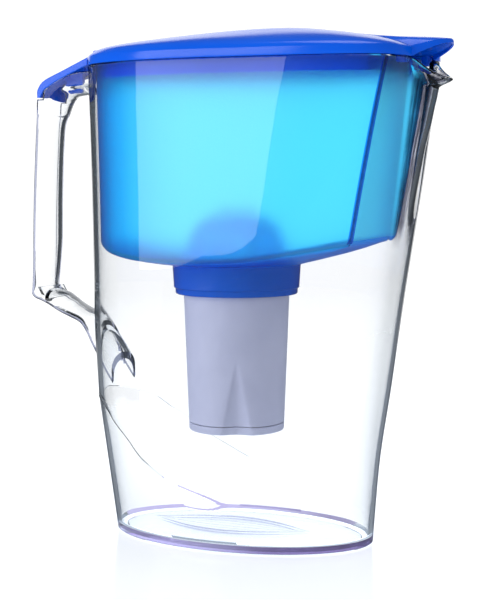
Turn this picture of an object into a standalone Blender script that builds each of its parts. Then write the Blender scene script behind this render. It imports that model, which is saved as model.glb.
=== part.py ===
"""Household water-filter jug with a see-through hopper and a drop-in cartridge.

The clear jug has a flat oval foot, an upright body that widens towards the rim, a pouring lip at the front (+X) and a
channel-shaped handle at the back (-X). The hopper hangs in the jug's mouth, the lid covers both, and the cartridge
drops into the hopper's neck. Lengths in the tables are millimetres; meshes are written in metres.
"""

import math

import bmesh
import bpy
import numpy as np

MM = 0.001

# Overall placing: the row's origin is the middle of the bounding box, and the foot's middle is a little in front of it.
HANDLE_REACH = 121.5
LIP_REACH = 112.2
ROW_SHIFT = (HANDLE_REACH - LIP_REACH) / 2

# Jug body, by height above the table.
RIM_TOP = 245.6
FOOT_HALF_LENGTH = 70.8
FOOT_HALF_WIDTH = 45.6
RIM_HALF_WIDTH = 52.3
RIM_CENTRE = 3.3
FRONT_REACH = ((0, 70.8), (39, 72.9), (82, 78.1), (124, 83.3), (155, 87.5), (190, 91.8), (222, 95.2), (246, 97.4))
FRONT_POWER = ((0, 2.0), (39, 2.3), (82, 2.7), (124, 3.0), (155, 3.3), (190, 3.8), (222, 4.3), (246, 5.0))
BACK_REACH = ((0, 78.6), (72, 82.5), (94, 83.9), (108, 84.6), (176, 85.6), (246, 87.2))
WALL = 2.6
FLOOR_TOP = 4.0
FOOT_RING = 5.0
FOOT_RECESS = 1.0

# A crease runs round the lower jug, highest at the back; below it the wall runs straight down to the foot.
# Its height by angle from the back middle, in degrees.
CREASE = ((0, 73.0), (10.8, 71.0), (22.5, 66.0), (28.6, 60.0), (38.7, 51.5), (45.8, 44.5), (57, 38.0), (70, 32.0),
          (90, 26.5), (110, 24.0), (180, 22.0))

# Spout: a ridge that grows out of the front wall and flares into a lip.
SPOUT_HALF_WIDTH = 18.0
SPOUT_BULGE = ((146, 0.0), (155, 0.4), (164, 1.0), (177, 2.2), (190, 3.6), (203, 4.9), (215, 6.9), (227, 8.0), (246, 8.6))
LIP_FLARE = 6.4
LIP_FOLD = 237.0
LIP_FULL = 244.0
LIP_DIP = 9.4
DIP_START = 222.0

# Handle: a channel with its rounded back to the fingers and its legs outwards.
HANDLE_HALF_WIDTH = 12.9
HANDLE_WALL = 2.2
HANDLE_ARCH = 5.5
# Each station: the channel's back (x, z), then its leg tips (x, z).
HANDLE_PATH = (
    ((-78.0, 231.4), (-78.0, 243.0)),
    ((-88.0, 231.2), (-88.0, 243.2)),
    ((-97.0, 230.5), (-97.6, 241.8)),
    ((-101.5, 229.5), (-103.0, 239.6)),
    ((-104.7, 227.2), (-108.7, 236.8)),
    ((-106.4, 224.6), (-111.4, 234.9)),
    ((-107.9, 221.6), (-112.8, 232.4)),
    ((-109.3, 218.4), (-113.2, 228.9)),
    ((-109.6, 217.6), (-116.8, 228.6)),
    ((-110.7, 213.8), (-117.2, 219.5)),
    ((-111.5, 207.0), (-117.8, 209.0)),
    ((-112.3, 196.2), (-118.5, 197.0)),
    ((-112.9, 174.6), (-119.6, 174.5)),
    ((-113.1, 155.0), (-120.2, 153.0)),
    ((-114.2, 145.0), (-120.4, 142.0)),
    ((-115.5, 136.0), (-120.7, 133.5)),
    ((-116.4, 129.6), (-121.1, 127.4)),
    ((-116.3, 127.4), (-121.5, 124.0)),
    ((-115.9, 126.3), (-119.6, 121.5)),
    ((-113.2, 125.5), (-115.3, 119.9)),
    ((-109.0, 124.3), (-110.6, 117.8)),
    ((-105.0, 121.7), (-106.8, 115.7)),
    ((-100.9, 118.8), (-102.6, 113.7)),
    ((-97.1, 116.8), (-98.4, 112.0)),
    ((-90.6, 113.7), (-91.4, 108.9)),
    ((-84.5, 109.3), (-87.6, 104.3)),
    ((-79.4, 104.0), (-84.6, 98.6)),
    ((-75.0, 98.4), (-81.2, 92.6)),
    ((-71.0, 92.8), (-77.6, 86.6)),
    ((-63.0, 81.6), (-69.6, 75.4)),
)
ELBOW_WEB = ((-117.6, 127.2), (-113.5, 120.1), (-112.0, 120.6), (-115.8, 127.2))
ELBOW_WEB_HALF_WIDTH = 12.3
ARM_END = -71.0
ARM_TOP = 125.0

# Handle cover: a shallow channel that sits over the handle's top arm. Back of the channel first, then its skirt.
COVER_HALF_WIDTH = 14.2
COVER_WALL = 1.0
COVER_ARCH = 1.6
COVER_PATH = (
    ((-80.0, 253.4), (-79.0, 248.3)),
    ((-90.0, 249.1), (-88.6, 244.6)),
    ((-101.2, 244.3), (-99.6, 239.9)),
    ((-107.0, 241.9), (-105.0, 237.4)),
    ((-110.6, 240.3), (-108.6, 235.3)),
    ((-113.2, 238.6), (-111.2, 233.8)),
    ((-115.2, 236.3), (-112.3, 232.2)),
    ((-116.5, 233.6), (-113.2, 230.6)),
    ((-116.9, 229.6), (-113.6, 229.4)),
)
COVER_GAP = 0.4
COVER_RIB = ((-104.5, 234.0), (-102.6, 233.4), (-95.6, 233.4), (-94.0, 234.4), (-94.0, 246.0), (-104.5, 241.4))
COVER_RIB_HALF_WIDTH = 0.9

# Hopper: hangs in the jug's mouth on a flange; its front is flat with sharp upright corners.
HOPPER_GAP = 2.0
HOPPER_WALL = 1.8
HOPPER_FRONT = ((154.7, 71.9), (242.0, 88.4))
HOPPER_POWER = ((155, 3.0), (246, 3.95))
FLANGE_INSET = 1.6
FLANGE_FRONT = 89.8
FLANGE_UNDER = 245.9
FLANGE_TOP = 247.7
NECK_CENTRE = -3.5
NECK_TOP = 142.5
NECK_BOTTOM = 127.0
NECK_TOP_RADIUS = 33.3
NECK_BOTTOM_RADIUS = 31.7
NECK_RING = 3.4
BORE_RADIUS = 28.9
SEAT_RADIUS = 31.4
SEAT_HEIGHT = 138.0
# Height of the hopper's lower edge along X.
HOPPER_EDGE = ((-80, 152.5), (-62, 147.0), (-40, 144.6), (-10, 143.9), (10, 144.6), (74, 155.0))

# Lid: skirt flush with the jug's wall, low dome, pouring visor at the front and a thumb tab at the back.
SKIRT_BOTTOM = 245.9
SKIRT_THICKNESS = 1.0
LID_EDGE = 250.0
LID_UNDER = 248.0
LID_THICKNESS = 2.0
LID_PEAK = 12.6
LID_FRONT = ((0, 12.6), (0.34, 11.8), (0.59, 9.3), (0.76, 6.8), (0.9, 4.0), (0.97, 2.0), (1, 0.6))
LID_BILL = ((0, 12.6), (0.29, 11.8), (0.51, 9.3), (0.66, 7.4), (0.8, 6.4), (0.9, 6.0), (0.96, 5.6), (1, 5.0))
LID_BACK = ((0, 12.6), (0.31, 10.6), (0.63, 7.8), (0.83, 5.7), (0.94, 3.7), (0.98, 2.0), (1, 0.6))
BILL_LENGTH = 14.2
BILL_HALF_WIDTH = 17.6
BILL_UNDER = 253.0
BILL_SIDE = 254.4
PLUG_INSET = 8.2
PLUG_FRONT = 80.8
PLUG_WALL = 1.6
PLUG_BOTTOM = 238.5
THUMB_TAB = ((-84.3, 250.8), (-84.3, 253.6), (-83.8, 254.1), (-79.0, 254.6), (-76.0, 254.4), (-76.0, 251.0))
NUB = ((90.4, 249.0), (90.4, 243.6), (91.0, 243.0), (93.6, 243.0), (94.2, 243.6), (94.2, 249.0))
NUB_PLACE = 20.0
NUB_HALF_WIDTH = 2.4
THUMB_HALF_WIDTH = 8.0

# Cartridge, by height above the table.
CART_BOTTOM = 55.5
CART_SEAM = 59.8
CART_TOP = 142.8
CART_BOTTOM_RADIUS = 24.7
CART_DRAFT = 0.038
CART_WALL = 1.4
CART_FLANGE_UNDER = 140.3
CART_FLANGE_RADIUS = 31.0
FLUTES = 3
FLUTE_TURN = -65.0
FLUTE_TOP = 94.0
FLUTE_DEPTH = 4.2
FLUTE_HALF_WIDTH = 13.0
HEAD_TOP = 166.0
GRIP_TOP = 171.5
PIECE_GAP = 0.3
SCREEN_THICKNESS = 0.6
BED_GAP = 1.0
CARBON_BOTTOM = 97.0
CARBON_TOP = 134.0

COLUMNS = 28
CART_COLUMNS = 36


def clear_scene():
    for item in list(bpy.data.objects):
        bpy.data.objects.remove(item, do_unlink=True)


def table(value, rows):
    """Smooth curve through a small table, with no overshoot."""
    xs = np.array([row[0] for row in rows], dtype=float)
    ys = np.array([row[1] for row in rows], dtype=float)
    steps = np.diff(ys) / np.diff(xs)
    slopes = np.zeros(len(xs))
    slopes[0] = steps[0]
    slopes[-1] = steps[-1]
    for i in range(1, len(xs) - 1):
        if steps[i - 1] * steps[i] > 0:
            slopes[i] = 2 * steps[i - 1] * steps[i] / (steps[i - 1] + steps[i])
    value = np.clip(np.asarray(value, dtype=float), xs[0], xs[-1])
    i = np.clip(np.searchsorted(xs, value, side="right") - 1, 0, len(xs) - 2)
    width = xs[i + 1] - xs[i]
    t = (value - xs[i]) / width
    first = (1 + 2 * t) * (1 - t) ** 2 * ys[i] + t * (1 - t) ** 2 * width * slopes[i]
    second = t * t * (3 - 2 * t) * ys[i + 1] + t * t * (t - 1) * width * slopes[i + 1]
    return first + second


def inward(points, inset):
    """Shift a half outline (back middle to front middle) inwards by a distance."""
    ahead = np.vstack([points[1:], points[-2:-1] * (1, -1)])
    behind = np.vstack([points[1:2] * (1, -1), points[:-1]])
    along = ahead - behind
    along /= np.linalg.norm(along, axis=1)[:, None]
    side = np.column_stack([along[:, 1], -along[:, 0]])
    return points + side * inset


def oval(height, inset=0.0, foot=False, samples=360, rows=FRONT_POWER):
    """Half outline of the jug at a height, from the back middle round +Y to the front middle."""
    rise = 0.0 if foot else height / 246.0
    half_width = FOOT_HALF_WIDTH + (RIM_HALF_WIDTH - FOOT_HALF_WIDTH) * rise
    centre = RIM_CENTRE * rise
    back = FOOT_HALF_LENGTH if foot else float(table(height, BACK_REACH))
    front = FOOT_HALF_LENGTH if foot else float(table(height, FRONT_REACH))
    power = 2.0 if foot else float(table(height, rows))
    turn = np.linspace(math.pi, math.pi / 2, samples, endpoint=False)
    rear = np.column_stack([centre + (back + centre) * np.cos(turn), half_width * np.sin(turn)])
    turn = np.linspace(math.pi / 2, 0, samples)
    cosine = np.clip(np.cos(turn), 0, 1) ** (2 / power)
    sine = np.clip(np.sin(turn), 0, 1) ** (2 / power)
    fore = np.column_stack([centre + (front - centre) * cosine, half_width * sine])
    points = np.vstack([rear, fore])
    points[0, 1] = 0.0
    points[-1, 1] = 0.0
    if inset:
        points = inward(points, inset)
        points[0, 1] = 0.0
        points[-1, 1] = 0.0
    return points


def resample(points, fractions):
    lengths = np.concatenate([[0], np.cumsum(np.linalg.norm(np.diff(points, axis=0), axis=1))])
    at = np.asarray(fractions) * lengths[-1]
    return np.column_stack([np.interp(at, lengths, points[:, 0]), np.interp(at, lengths, points[:, 1])])


def column_fractions(count):
    """Arc fractions of the columns: closer together at the spout and the front corners."""
    points = oval(246.0)
    steps = np.diff(points, axis=0)
    lengths = np.linalg.norm(steps, axis=1)
    headings = np.unwrap(np.arctan2(steps[:, 1], steps[:, 0]))
    turning = np.abs(np.gradient(headings)) / lengths
    middle = (points[1:] + points[:-1]) / 2
    weight = 1.0 + 40.0 * np.minimum(turning, 0.06)
    weight += 1.6 * (np.abs(middle[:, 1]) < SPOUT_HALF_WIDTH + 3)
    spent = np.concatenate([[0], np.cumsum(weight * lengths)])
    travelled = np.concatenate([[0], np.cumsum(lengths)])
    wanted = np.linspace(0, spent[-1], count + 1)
    return np.interp(wanted, spent, travelled) / travelled[-1]


def crease_heights(fractions):
    points = resample(oval(60.0), fractions)
    angle = np.degrees(np.arctan2(points[:, 1], -points[:, 0]))
    return table(angle, CREASE)


def spout(points, height):
    """How far the front wall is pushed out at each point."""
    near = np.clip(np.abs(points[:, 1]) / SPOUT_HALF_WIDTH, 0, 1)
    bulge = float(table(height, SPOUT_BULGE)) * np.cos(math.pi * near / 2) ** 2
    fold = LIP_FOLD + (RIM_TOP - LIP_FOLD) * near**2
    flare = np.clip((height - fold) / np.maximum(LIP_FULL - fold, 1.6), 0, 1)
    lip = LIP_FLARE * flare * np.sqrt(np.clip(1 - near**2, 0, 1))
    if height > LIP_FULL:
        lip = lip - (height - LIP_FULL) * 0.6 * (near < 1) * (1 - near)
    return np.where(points[:, 0] > 0, bulge + lip, 0.0)


def rim_dip(points, height):
    """How far the rim and the wall just below it hang lower in the middle of the pouring lip."""
    near = np.clip(np.abs(points[:, 1]) / SPOUT_HALF_WIDTH, 0, 1)
    share = np.clip((height - DIP_START) / (RIM_TOP - DIP_START), 0, 1)
    return np.where(points[:, 0] > 0, LIP_DIP * share * (1 - near**2), 0.0)


def wall_ring(heights, fractions, inset=0.0):
    """Half ring of the jug's wall, one height per column."""
    crease = crease_heights(fractions)
    foot = resample(oval(0.0, inset, foot=True), fractions)
    rows = []
    for i, height in enumerate(heights):
        upper = max(height, crease[i])
        point = resample(oval(upper, inset), fractions[i : i + 1])
        point[:, 0] += spout(point, upper)
        share = min(height / crease[i], 1.0)
        xy = foot[i] * (1 - share) + point[0] * share
        rows.append((xy[0], xy[1], height - float(rim_dip(point, upper)[0])))
    return np.array(rows)


def whole(half):
    """Full ring from a half ring."""
    mirrored = half[-2:0:-1] * (1, -1, 1)
    return np.vstack([half, mirrored])


def flat_half(points, height):
    return np.column_stack([points, np.full(len(points), float(height))])


def loft(rings, start="fan", end="fan", loop=False):
    """Closed mesh through rings of equal length: (points, faces)."""
    count = len(rings[0])
    points = [tuple(p) for ring in rings for p in ring]
    faces = []
    pairs = len(rings) if loop else len(rings) - 1
    for r in range(pairs):
        a = r * count
        b = ((r + 1) % len(rings)) * count
        for i in range(count):
            j = (i + 1) % count
            faces.append((a + i, a + j, b + j, b + i))
    if not loop:
        for which, ring_index in ((start, 0), (end, len(rings) - 1)):
            base = ring_index * count
            if which == "flat":
                faces.append(tuple(base + i for i in range(count)))
            else:
                centre = which if isinstance(which, tuple) else tuple(np.mean(rings[ring_index], axis=0))
                points.append(centre)
                tip = len(points) - 1
                for i in range(count):
                    faces.append((base + i, base + (i + 1) % count, tip))
    return points, faces


def make_object(name, shape, material=None, origin=(0.0, 0.0, 0.0)):
    """Object from millimetre points, shifted into the row frame, with its own origin."""
    points, faces = shape
    moved = [
        (
            (p[0] + ROW_SHIFT - origin[0]) * MM,
            (p[1] - origin[1]) * MM,
            (p[2] - origin[2]) * MM,
        )
        for p in points
    ]
    mesh = bpy.data.meshes.new(name)
    mesh.from_pydata(moved, [], faces)
    work = bmesh.new()
    work.from_mesh(mesh)
    bmesh.ops.remove_doubles(work, verts=work.verts, dist=1e-6)
    bmesh.ops.recalc_face_normals(work, faces=work.faces)
    if work.calc_volume(signed=True) < 0:
        bmesh.ops.reverse_faces(work, faces=work.faces)
    work.to_mesh(mesh)
    work.free()
    item = bpy.data.objects.new(name, mesh)
    item.location = tuple(value * MM for value in origin)
    bpy.context.scene.collection.objects.link(item)
    if material is not None:
        mesh.materials.append(material)
    return item


def make_material(name, colour, roughness, transmission=0.0):
    material = bpy.data.materials.new(name)
    material.use_nodes = True
    shader = material.node_tree.nodes["Principled BSDF"]
    shader.inputs["Base Color"].default_value = (*colour, 1.0)
    shader.inputs["Roughness"].default_value = roughness
    shader.inputs["Transmission Weight"].default_value = transmission
    return material


def boolean(item, cutter, operation):
    cutter.hide_render = True
    cutter.display_type = "WIRE"
    cutter.location = item.location
    modifier = item.modifiers.new(cutter.name, "BOOLEAN")
    modifier.operation = operation
    modifier.solver = "EXACT"
    modifier.object = cutter


def prism(profile, half_width):
    """Solid from a side profile (x, z), as wide as twice the half width."""
    rings = []
    for y in (-half_width, half_width):
        rings.append([(x, y, z) for x, z in profile])
    return loft(rings, "flat", "flat")


def channel_section(back, tip, half_width, back_wall, leg_wall, arch, steps=4):
    """Closed cross-section of a rounded channel from its back line to its leg tips."""
    depth = math.hypot(tip[0] - back[0], tip[1] - back[1])
    unit = ((tip[0] - back[0]) / depth, (tip[1] - back[1]) / depth)
    rise = min(arch, 0.72 * depth)
    outer = [(half_width, depth)]
    for i in range(steps * 2 + 1):
        turn = math.pi * i / (steps * 2)
        across = half_width * math.cos(turn)
        down = rise * (1 - math.sin(turn) ** 0.8)
        outer.append((across, down))
    outer.append((-half_width, depth))
    inner = [(-half_width + leg_wall, depth)]
    inside = half_width - leg_wall
    for i in range(steps * 2 + 1):
        turn = math.pi * (1 - i / (steps * 2))
        across = inside * math.cos(turn)
        down = min(back_wall + rise * (1 - math.sin(turn) ** 0.8), depth - 0.4)
        inner.append((across, down))
    inner.append((half_width - leg_wall, depth))
    return [(back[0] + unit[0] * d, y, back[1] + unit[1] * d) for y, d in outer + inner]


def channel(path, half_width, back_wall, leg_wall, arch):
    rings = [channel_section(b, t, half_width, back_wall, leg_wall, arch) for b, t in path]
    return loft(rings, "flat", "flat")


def jug_levels(crease, low):
    """Heights of the rings: the lowest ones follow the crease column by column."""
    step = (88.0 - crease) / 3
    rows = [low, crease, crease + step, crease + 2 * step]
    upper = (88, 102, 118, 134, 150, 170, 190, 208, 222, 230, 235, 238, 240, 242, 244, RIM_TOP)
    for height in upper:
        rows.append(np.full(len(crease), float(height)))
    return rows


def build_jug(material):
    """One wall, up the outside and down the inside, with the handle joined on."""
    fractions = column_fractions(COLUMNS)
    crease = crease_heights(fractions)
    inner_foot = resample(oval(0.0, FOOT_RING + 1, foot=True), fractions)
    outer_foot = resample(oval(0.0, FOOT_RING, foot=True), fractions)
    rings = [flat_half(inner_foot, FOOT_RECESS), flat_half(outer_foot, 0.0)]
    for heights in jug_levels(crease, np.zeros(len(crease))):
        rings.append(wall_ring(heights, fractions))
    floor = np.full(len(crease), FLOOR_TOP)
    for heights in reversed(jug_levels(np.maximum(crease, FLOOR_TOP + 2), floor)):
        rings.append(wall_ring(heights, fractions, WALL))
    jug = make_object("jug", loft([whole(r) for r in rings], "flat", "flat"), material)
    boolean(jug, build_handle(fractions), "UNION")
    return jug


def build_handle(fractions):
    """Channel handle: its top ends in the wall, and the end of its lower arm stands inside the jug as a rib."""
    handle_shape = channel(HANDLE_PATH, HANDLE_HALF_WIDTH, HANDLE_WALL, HANDLE_WALL, HANDLE_ARCH)
    handle = make_object("jug_handle", handle_shape)
    boolean(handle, make_object("jug_elbow_web", prism(ELBOW_WEB, ELBOW_WEB_HALF_WIDTH)), "UNION")
    rings = []
    for height in (ARM_TOP, 160.0, 200.0, 235.0, RIM_TOP):
        heights = np.full(len(fractions), height)
        rings.append(whole(wall_ring(heights, fractions, WALL / 2)))
    rings.append(rings[-1] + (0, 0, 20))
    boolean(handle, make_object("jug_handle_top_end", loft(rings, "flat", "flat")), "DIFFERENCE")
    beyond = ((ARM_END, 40.0), (ARM_END + 40, 40.0), (ARM_END + 40, ARM_TOP), (ARM_END, ARM_TOP))
    boolean(handle, make_object("jug_handle_arm_end", prism(beyond, 30.0)), "DIFFERENCE")
    return handle


def cut_front(points, plane, centre=RIM_CENTRE):
    """Pull points in front of a plane back to it, along lines to the centre."""
    points = points.copy()
    beyond = points[:, 0] > plane
    share = (plane - centre) / (points[beyond, 0] - centre)
    points[beyond, 0] = plane
    points[beyond, 1] *= share
    return points


def squared(points, plane, sides, front):
    """Half outline cut square at the front plane, with a column exactly on its corner."""
    ahead = int(np.argmax((points[:, 0] >= plane) & (np.arange(len(points)) > len(points) // 2)))
    a = points[ahead - 1]
    b = points[ahead]
    share = (plane - a[0]) / (b[0] - a[0])
    corner = a + (b - a) * share
    side = resample(np.vstack([points[:ahead], corner]), np.linspace(0, 1, sides + 1))
    face = np.column_stack([np.full(front, plane), corner[1] * (1 - np.arange(1, front + 1) / front)])
    return np.vstack([side, face])


def hopper_outline(height, inset, sides=22, front=3):
    """Half outline of the hopper's wall at a height; the inset is measured from its outer face."""
    plane = HOPPER_FRONT[0][1] + (height - HOPPER_FRONT[0][0]) * (HOPPER_FRONT[1][1] - HOPPER_FRONT[0][1]) / (
        HOPPER_FRONT[1][0] - HOPPER_FRONT[0][0]
    )
    return squared(oval(height, WALL + HOPPER_GAP + inset, rows=HOPPER_POWER), plane - inset, sides, front)


def neck_ring(outline, radius, height):
    turn = np.arctan2(outline[:, 1], outline[:, 0] - NECK_CENTRE)
    turn[0] = math.pi
    turn[-1] = 0.0
    points = np.column_stack([NECK_CENTRE + radius * np.cos(turn), radius * np.sin(turn)])
    points[0, 1] = 0.0
    points[-1, 1] = 0.0
    return flat_half(points, height)


def hopper_edge_ring(inset, lift):
    """The hopper's lower edge: its height changes along the length, and so does the outline."""
    rough = hopper_outline(148.0, inset)
    heights = table(rough[:, 0], HOPPER_EDGE) + lift
    rows = []
    for i, height in enumerate(heights):
        point = hopper_outline(float(height), inset)[i]
        rows.append((point[0], point[1], height))
    return np.array(rows)


def build_hopper(material):
    rings = []
    flange = squared(oval(245.6, FLANGE_INSET), FLANGE_FRONT, 22, 3)
    rings.append(flat_half(flange, FLANGE_TOP))
    rings.append(flat_half(flange, FLANGE_UNDER))
    for height in (FLANGE_UNDER, 225.0, 195.0, 165.0):
        rings.append(flat_half(hopper_outline(height, 0.0), height))
    edge = hopper_edge_ring(0.0, 2.5)
    rings.append(edge)
    rings.append(hopper_edge_ring(1.2, 0.6))
    under = hopper_edge_ring(3.0, 0.0)
    rings.append(under)
    outline = under[:, :2]
    outer_neck = neck_ring(outline, NECK_TOP_RADIUS, NECK_TOP)
    rings.append(under * 0.5 + outer_neck * 0.5 - (0, 0, 0.4))
    rings.append(outer_neck)
    ring_height = NECK_BOTTOM + NECK_RING
    share = NECK_RING / (NECK_TOP - NECK_BOTTOM)
    ring_radius = NECK_BOTTOM_RADIUS + (NECK_TOP_RADIUS - NECK_BOTTOM_RADIUS) * share
    rings.append(neck_ring(outline, ring_radius, ring_height))
    rings.append(neck_ring(outline, ring_radius - 0.4, ring_height - 0.6))
    rings.append(neck_ring(outline, NECK_BOTTOM_RADIUS, NECK_BOTTOM))
    rings.append(neck_ring(outline, BORE_RADIUS, NECK_BOTTOM))
    rings.append(neck_ring(outline, BORE_RADIUS, SEAT_HEIGHT))
    rings.append(neck_ring(outline, SEAT_RADIUS, SEAT_HEIGHT))
    inner_neck = neck_ring(outline, SEAT_RADIUS, NECK_TOP + HOPPER_WALL)
    rings.append(inner_neck)
    inside = hopper_edge_ring(3.6, HOPPER_WALL)
    rings.append(inside * 0.5 + inner_neck * 0.5 - (0, 0, 0.4))
    rings.append(inside)
    rings.append(hopper_edge_ring(2.2, HOPPER_WALL + 1.2))
    rings.append(hopper_edge_ring(HOPPER_WALL, HOPPER_WALL + 3.0))
    for height in (165.0, 195.0, 225.0, FLANGE_TOP):
        rings.append(flat_half(hopper_outline(height, HOPPER_WALL), height))
    origin = (ROW_SHIFT + NECK_CENTRE, 0.0, FLANGE_UNDER)
    return make_object("hopper", loft([whole(r) for r in rings], loop=True), material, origin)


def nub_shape(side):
    """Small guide block that hangs from the lid beside the pouring lip."""
    points, faces = prism(NUB, NUB_HALF_WIDTH)
    return [(x, y + side * NUB_PLACE, z) for x, y, z in points], faces


def bill_reach(points):
    """How far the visor carries the lid's edge forwards at each point."""
    near = np.clip(np.abs(points[:, 1]) / BILL_HALF_WIDTH, 0, 1)
    return np.where(points[:, 0] > RIM_CENTRE, BILL_LENGTH * np.sqrt(1 - near**2), 0.0)


def lid_height(edge, rho):
    """Height of the dome above the lid's edge along the line from the centre to each edge point."""
    angle = np.arctan2(edge[:, 1], edge[:, 0] - RIM_CENTRE)
    forward = 0.5 + 0.5 * np.cos(angle)
    bill = bill_reach(edge) / BILL_LENGTH
    front = table(rho, LID_FRONT) * (1 - bill) + table(rho, LID_BILL) * bill
    return front * forward + table(rho, LID_BACK) * (1 - forward)


def lid_ring(edge, rho, drop=0.0):
    centre = np.array([RIM_CENTRE, 0.0])
    reach = edge.copy()
    reach[:, 0] += bill_reach(edge)
    points = centre + (reach - centre) * rho
    heights = LID_EDGE + lid_height(edge, rho) - drop
    return np.column_stack([points, heights])


def lid_skirt(fractions, inset, height, bill_height):
    """Ring of the skirt; under the visor it arches up with the visor's edge."""
    points = resample(oval(246.0, inset), fractions)
    reach = bill_reach(points)
    ring = flat_half(points, height)
    ring[:, 0] += reach
    ring[:, 2] = height + (bill_height - height) * reach / BILL_LENGTH
    return ring


def plug_ring(fractions, inset, height):
    points = resample(oval(246.0, PLUG_INSET + inset, rows=HOPPER_POWER), fractions)
    return flat_half(cut_front(points, PLUG_FRONT - inset), height)


def build_lid(material):
    fractions = column_fractions(COLUMNS)
    edge = resample(oval(246.0, 0.3), fractions)
    rings = []
    for rho in (0.3, 0.5, 0.68, 0.82, 0.91, 0.97, 1.0):
        rings.append(lid_ring(edge, rho))
    rings.append(lid_skirt(fractions, 0.0, LID_EDGE - 0.2, BILL_SIDE))
    rings.append(lid_skirt(fractions, 0.0, SKIRT_BOTTOM, BILL_UNDER))
    rings.append(lid_skirt(fractions, SKIRT_THICKNESS, SKIRT_BOTTOM, BILL_UNDER))
    rings.append(lid_skirt(fractions, SKIRT_THICKNESS + 0.2, LID_UNDER, BILL_UNDER + 0.1))
    rings.append(plug_ring(fractions, 0.0, LID_UNDER))
    rings.append(plug_ring(fractions, 0.0, PLUG_BOTTOM))
    rings.append(plug_ring(fractions, PLUG_WALL, PLUG_BOTTOM))
    rings.append(plug_ring(fractions, PLUG_WALL, LID_UNDER + 0.6))
    for rho in (0.68, 0.5, 0.3):
        rings.append(lid_ring(edge, rho, LID_THICKNESS))
    top = (RIM_CENTRE, 0.0, LID_EDGE + LID_PEAK)
    under = (RIM_CENTRE, 0.0, LID_EDGE + LID_PEAK - LID_THICKNESS)
    origin = (ROW_SHIFT + NECK_CENTRE, 0.0, SKIRT_BOTTOM)
    rings = [whole(r) for r in rings]
    lid = make_object("lid", loft(rings, top, under), material, origin)
    boolean(lid, make_object("lid_thumb_tab", prism(THUMB_TAB, THUMB_HALF_WIDTH), None, origin), "UNION")
    for side in (-1, 1):
        boolean(lid, make_object("lid_nub", nub_shape(side), None, origin), "UNION")
    return lid


def build_cover(material):
    shape = channel(COVER_PATH, COVER_HALF_WIDTH, COVER_WALL + 0.4, COVER_WALL, COVER_ARCH)
    cover = make_object("handle_cover", shape, material)
    boolean(cover, make_object("handle_cover_rib", prism(COVER_RIB, COVER_RIB_HALF_WIDTH)), "UNION")
    outline = resample(oval(246.0, -COVER_GAP), np.linspace(0, 1, 61))
    rings = [whole(flat_half(outline, 235.0)), whole(flat_half(outline, 262.0))]
    boolean(cover, make_object("handle_cover_end", loft(rings, "flat", "flat")), "DIFFERENCE")
    return cover


def cart_ring(height, inset, count=CART_COLUMNS, plain=False):
    """Ring of the cartridge's fluted shell at a height."""
    turn = np.arange(count) * 2 * math.pi / count + math.radians(FLUTE_TURN)
    radius = np.full(count, CART_BOTTOM_RADIUS + CART_DRAFT * (height - CART_BOTTOM))
    drop = np.clip((FLUTE_TOP - height) / (FLUTE_TOP - CART_BOTTOM), 0, 1)
    if drop > 0 and not plain:
        pitch = 2 * math.pi / FLUTES
        away = np.abs((turn - math.radians(FLUTE_TURN) + pitch / 2) % pitch - pitch / 2)
        span = FLUTE_HALF_WIDTH * (0.15 + 0.85 * drop) / CART_BOTTOM_RADIUS
        share = np.clip(away / span, 0, 1)
        radius -= FLUTE_DEPTH * drop * (0.5 + 0.5 * np.cos(math.pi * share))
    radius -= inset
    xs = NECK_CENTRE + radius * np.cos(turn)
    return np.column_stack([xs, radius * np.sin(turn), np.full(count, float(height))])


def round_ring(radius, height, count=CART_COLUMNS):
    turn = np.arange(count) * 2 * math.pi / count + math.radians(FLUTE_TURN)
    xs = NECK_CENTRE + radius * np.cos(turn)
    return np.column_stack([xs, radius * np.sin(turn), np.full(count, float(height))])


CART_ORIGIN = (ROW_SHIFT + NECK_CENTRE, 0.0, CART_FLANGE_UNDER)


def build_cartridge_body(material):
    low = CART_SEAM + PIECE_GAP / 2
    heights = [low, 71, 82, 94, CART_FLANGE_UNDER]
    rings = [cart_ring(h, 0.0) for h in heights]
    rings.append(round_ring(CART_FLANGE_RADIUS, CART_FLANGE_UNDER))
    rings.append(round_ring(CART_FLANGE_RADIUS, CART_TOP))
    rings.append(cart_ring(CART_TOP, CART_WALL))
    for h in reversed(heights[:-1]):
        rings.append(cart_ring(h, CART_WALL))
    return make_object("cartridge_body", loft(rings, loop=True), material, CART_ORIGIN)


def slot_prisms(count, inner, outer, half_width, low, high, phase=0.0):
    """Radial slots round the cartridge's axis, as one cutter."""
    points = []
    faces = []
    for k in range(count):
        turn = 2 * math.pi * k / count + phase
        out = np.array([math.cos(turn), math.sin(turn)])
        side = np.array([-out[1], out[0]])
        base = len(points)
        for z in (low, high):
            for r, s in ((inner, -1), (outer, -1), (outer, 1), (inner, 1)):
                xy = out * r + side * half_width * s
                points.append((NECK_CENTRE + xy[0], xy[1], z))
        quads = ((0, 1, 2, 3), (7, 6, 5, 4), (0, 4, 5, 1), (1, 5, 6, 2), (2, 6, 7, 3), (3, 7, 4, 0))
        faces.extend(tuple(base + i for i in quad) for quad in quads)
    return points, faces


def build_cartridge_base(material):
    high = CART_SEAM - PIECE_GAP / 2
    rings = [cart_ring(CART_BOTTOM, 0.8), cart_ring(CART_BOTTOM + 0.6, 0.0), cart_ring(high, 0.0)]
    rings += [cart_ring(high, CART_WALL), cart_ring(CART_BOTTOM + 1.6, CART_WALL)]
    base = make_object("cartridge_base", loft(rings, "flat", "flat"), material, CART_ORIGIN)
    slots = slot_prisms(12, 6.0, 14.5, 0.7, CART_BOTTOM - 2, CART_BOTTOM + 2.5, math.radians(15))
    boolean(base, make_object("cartridge_base_slots", slots, None, CART_ORIGIN), "DIFFERENCE")
    return base


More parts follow.
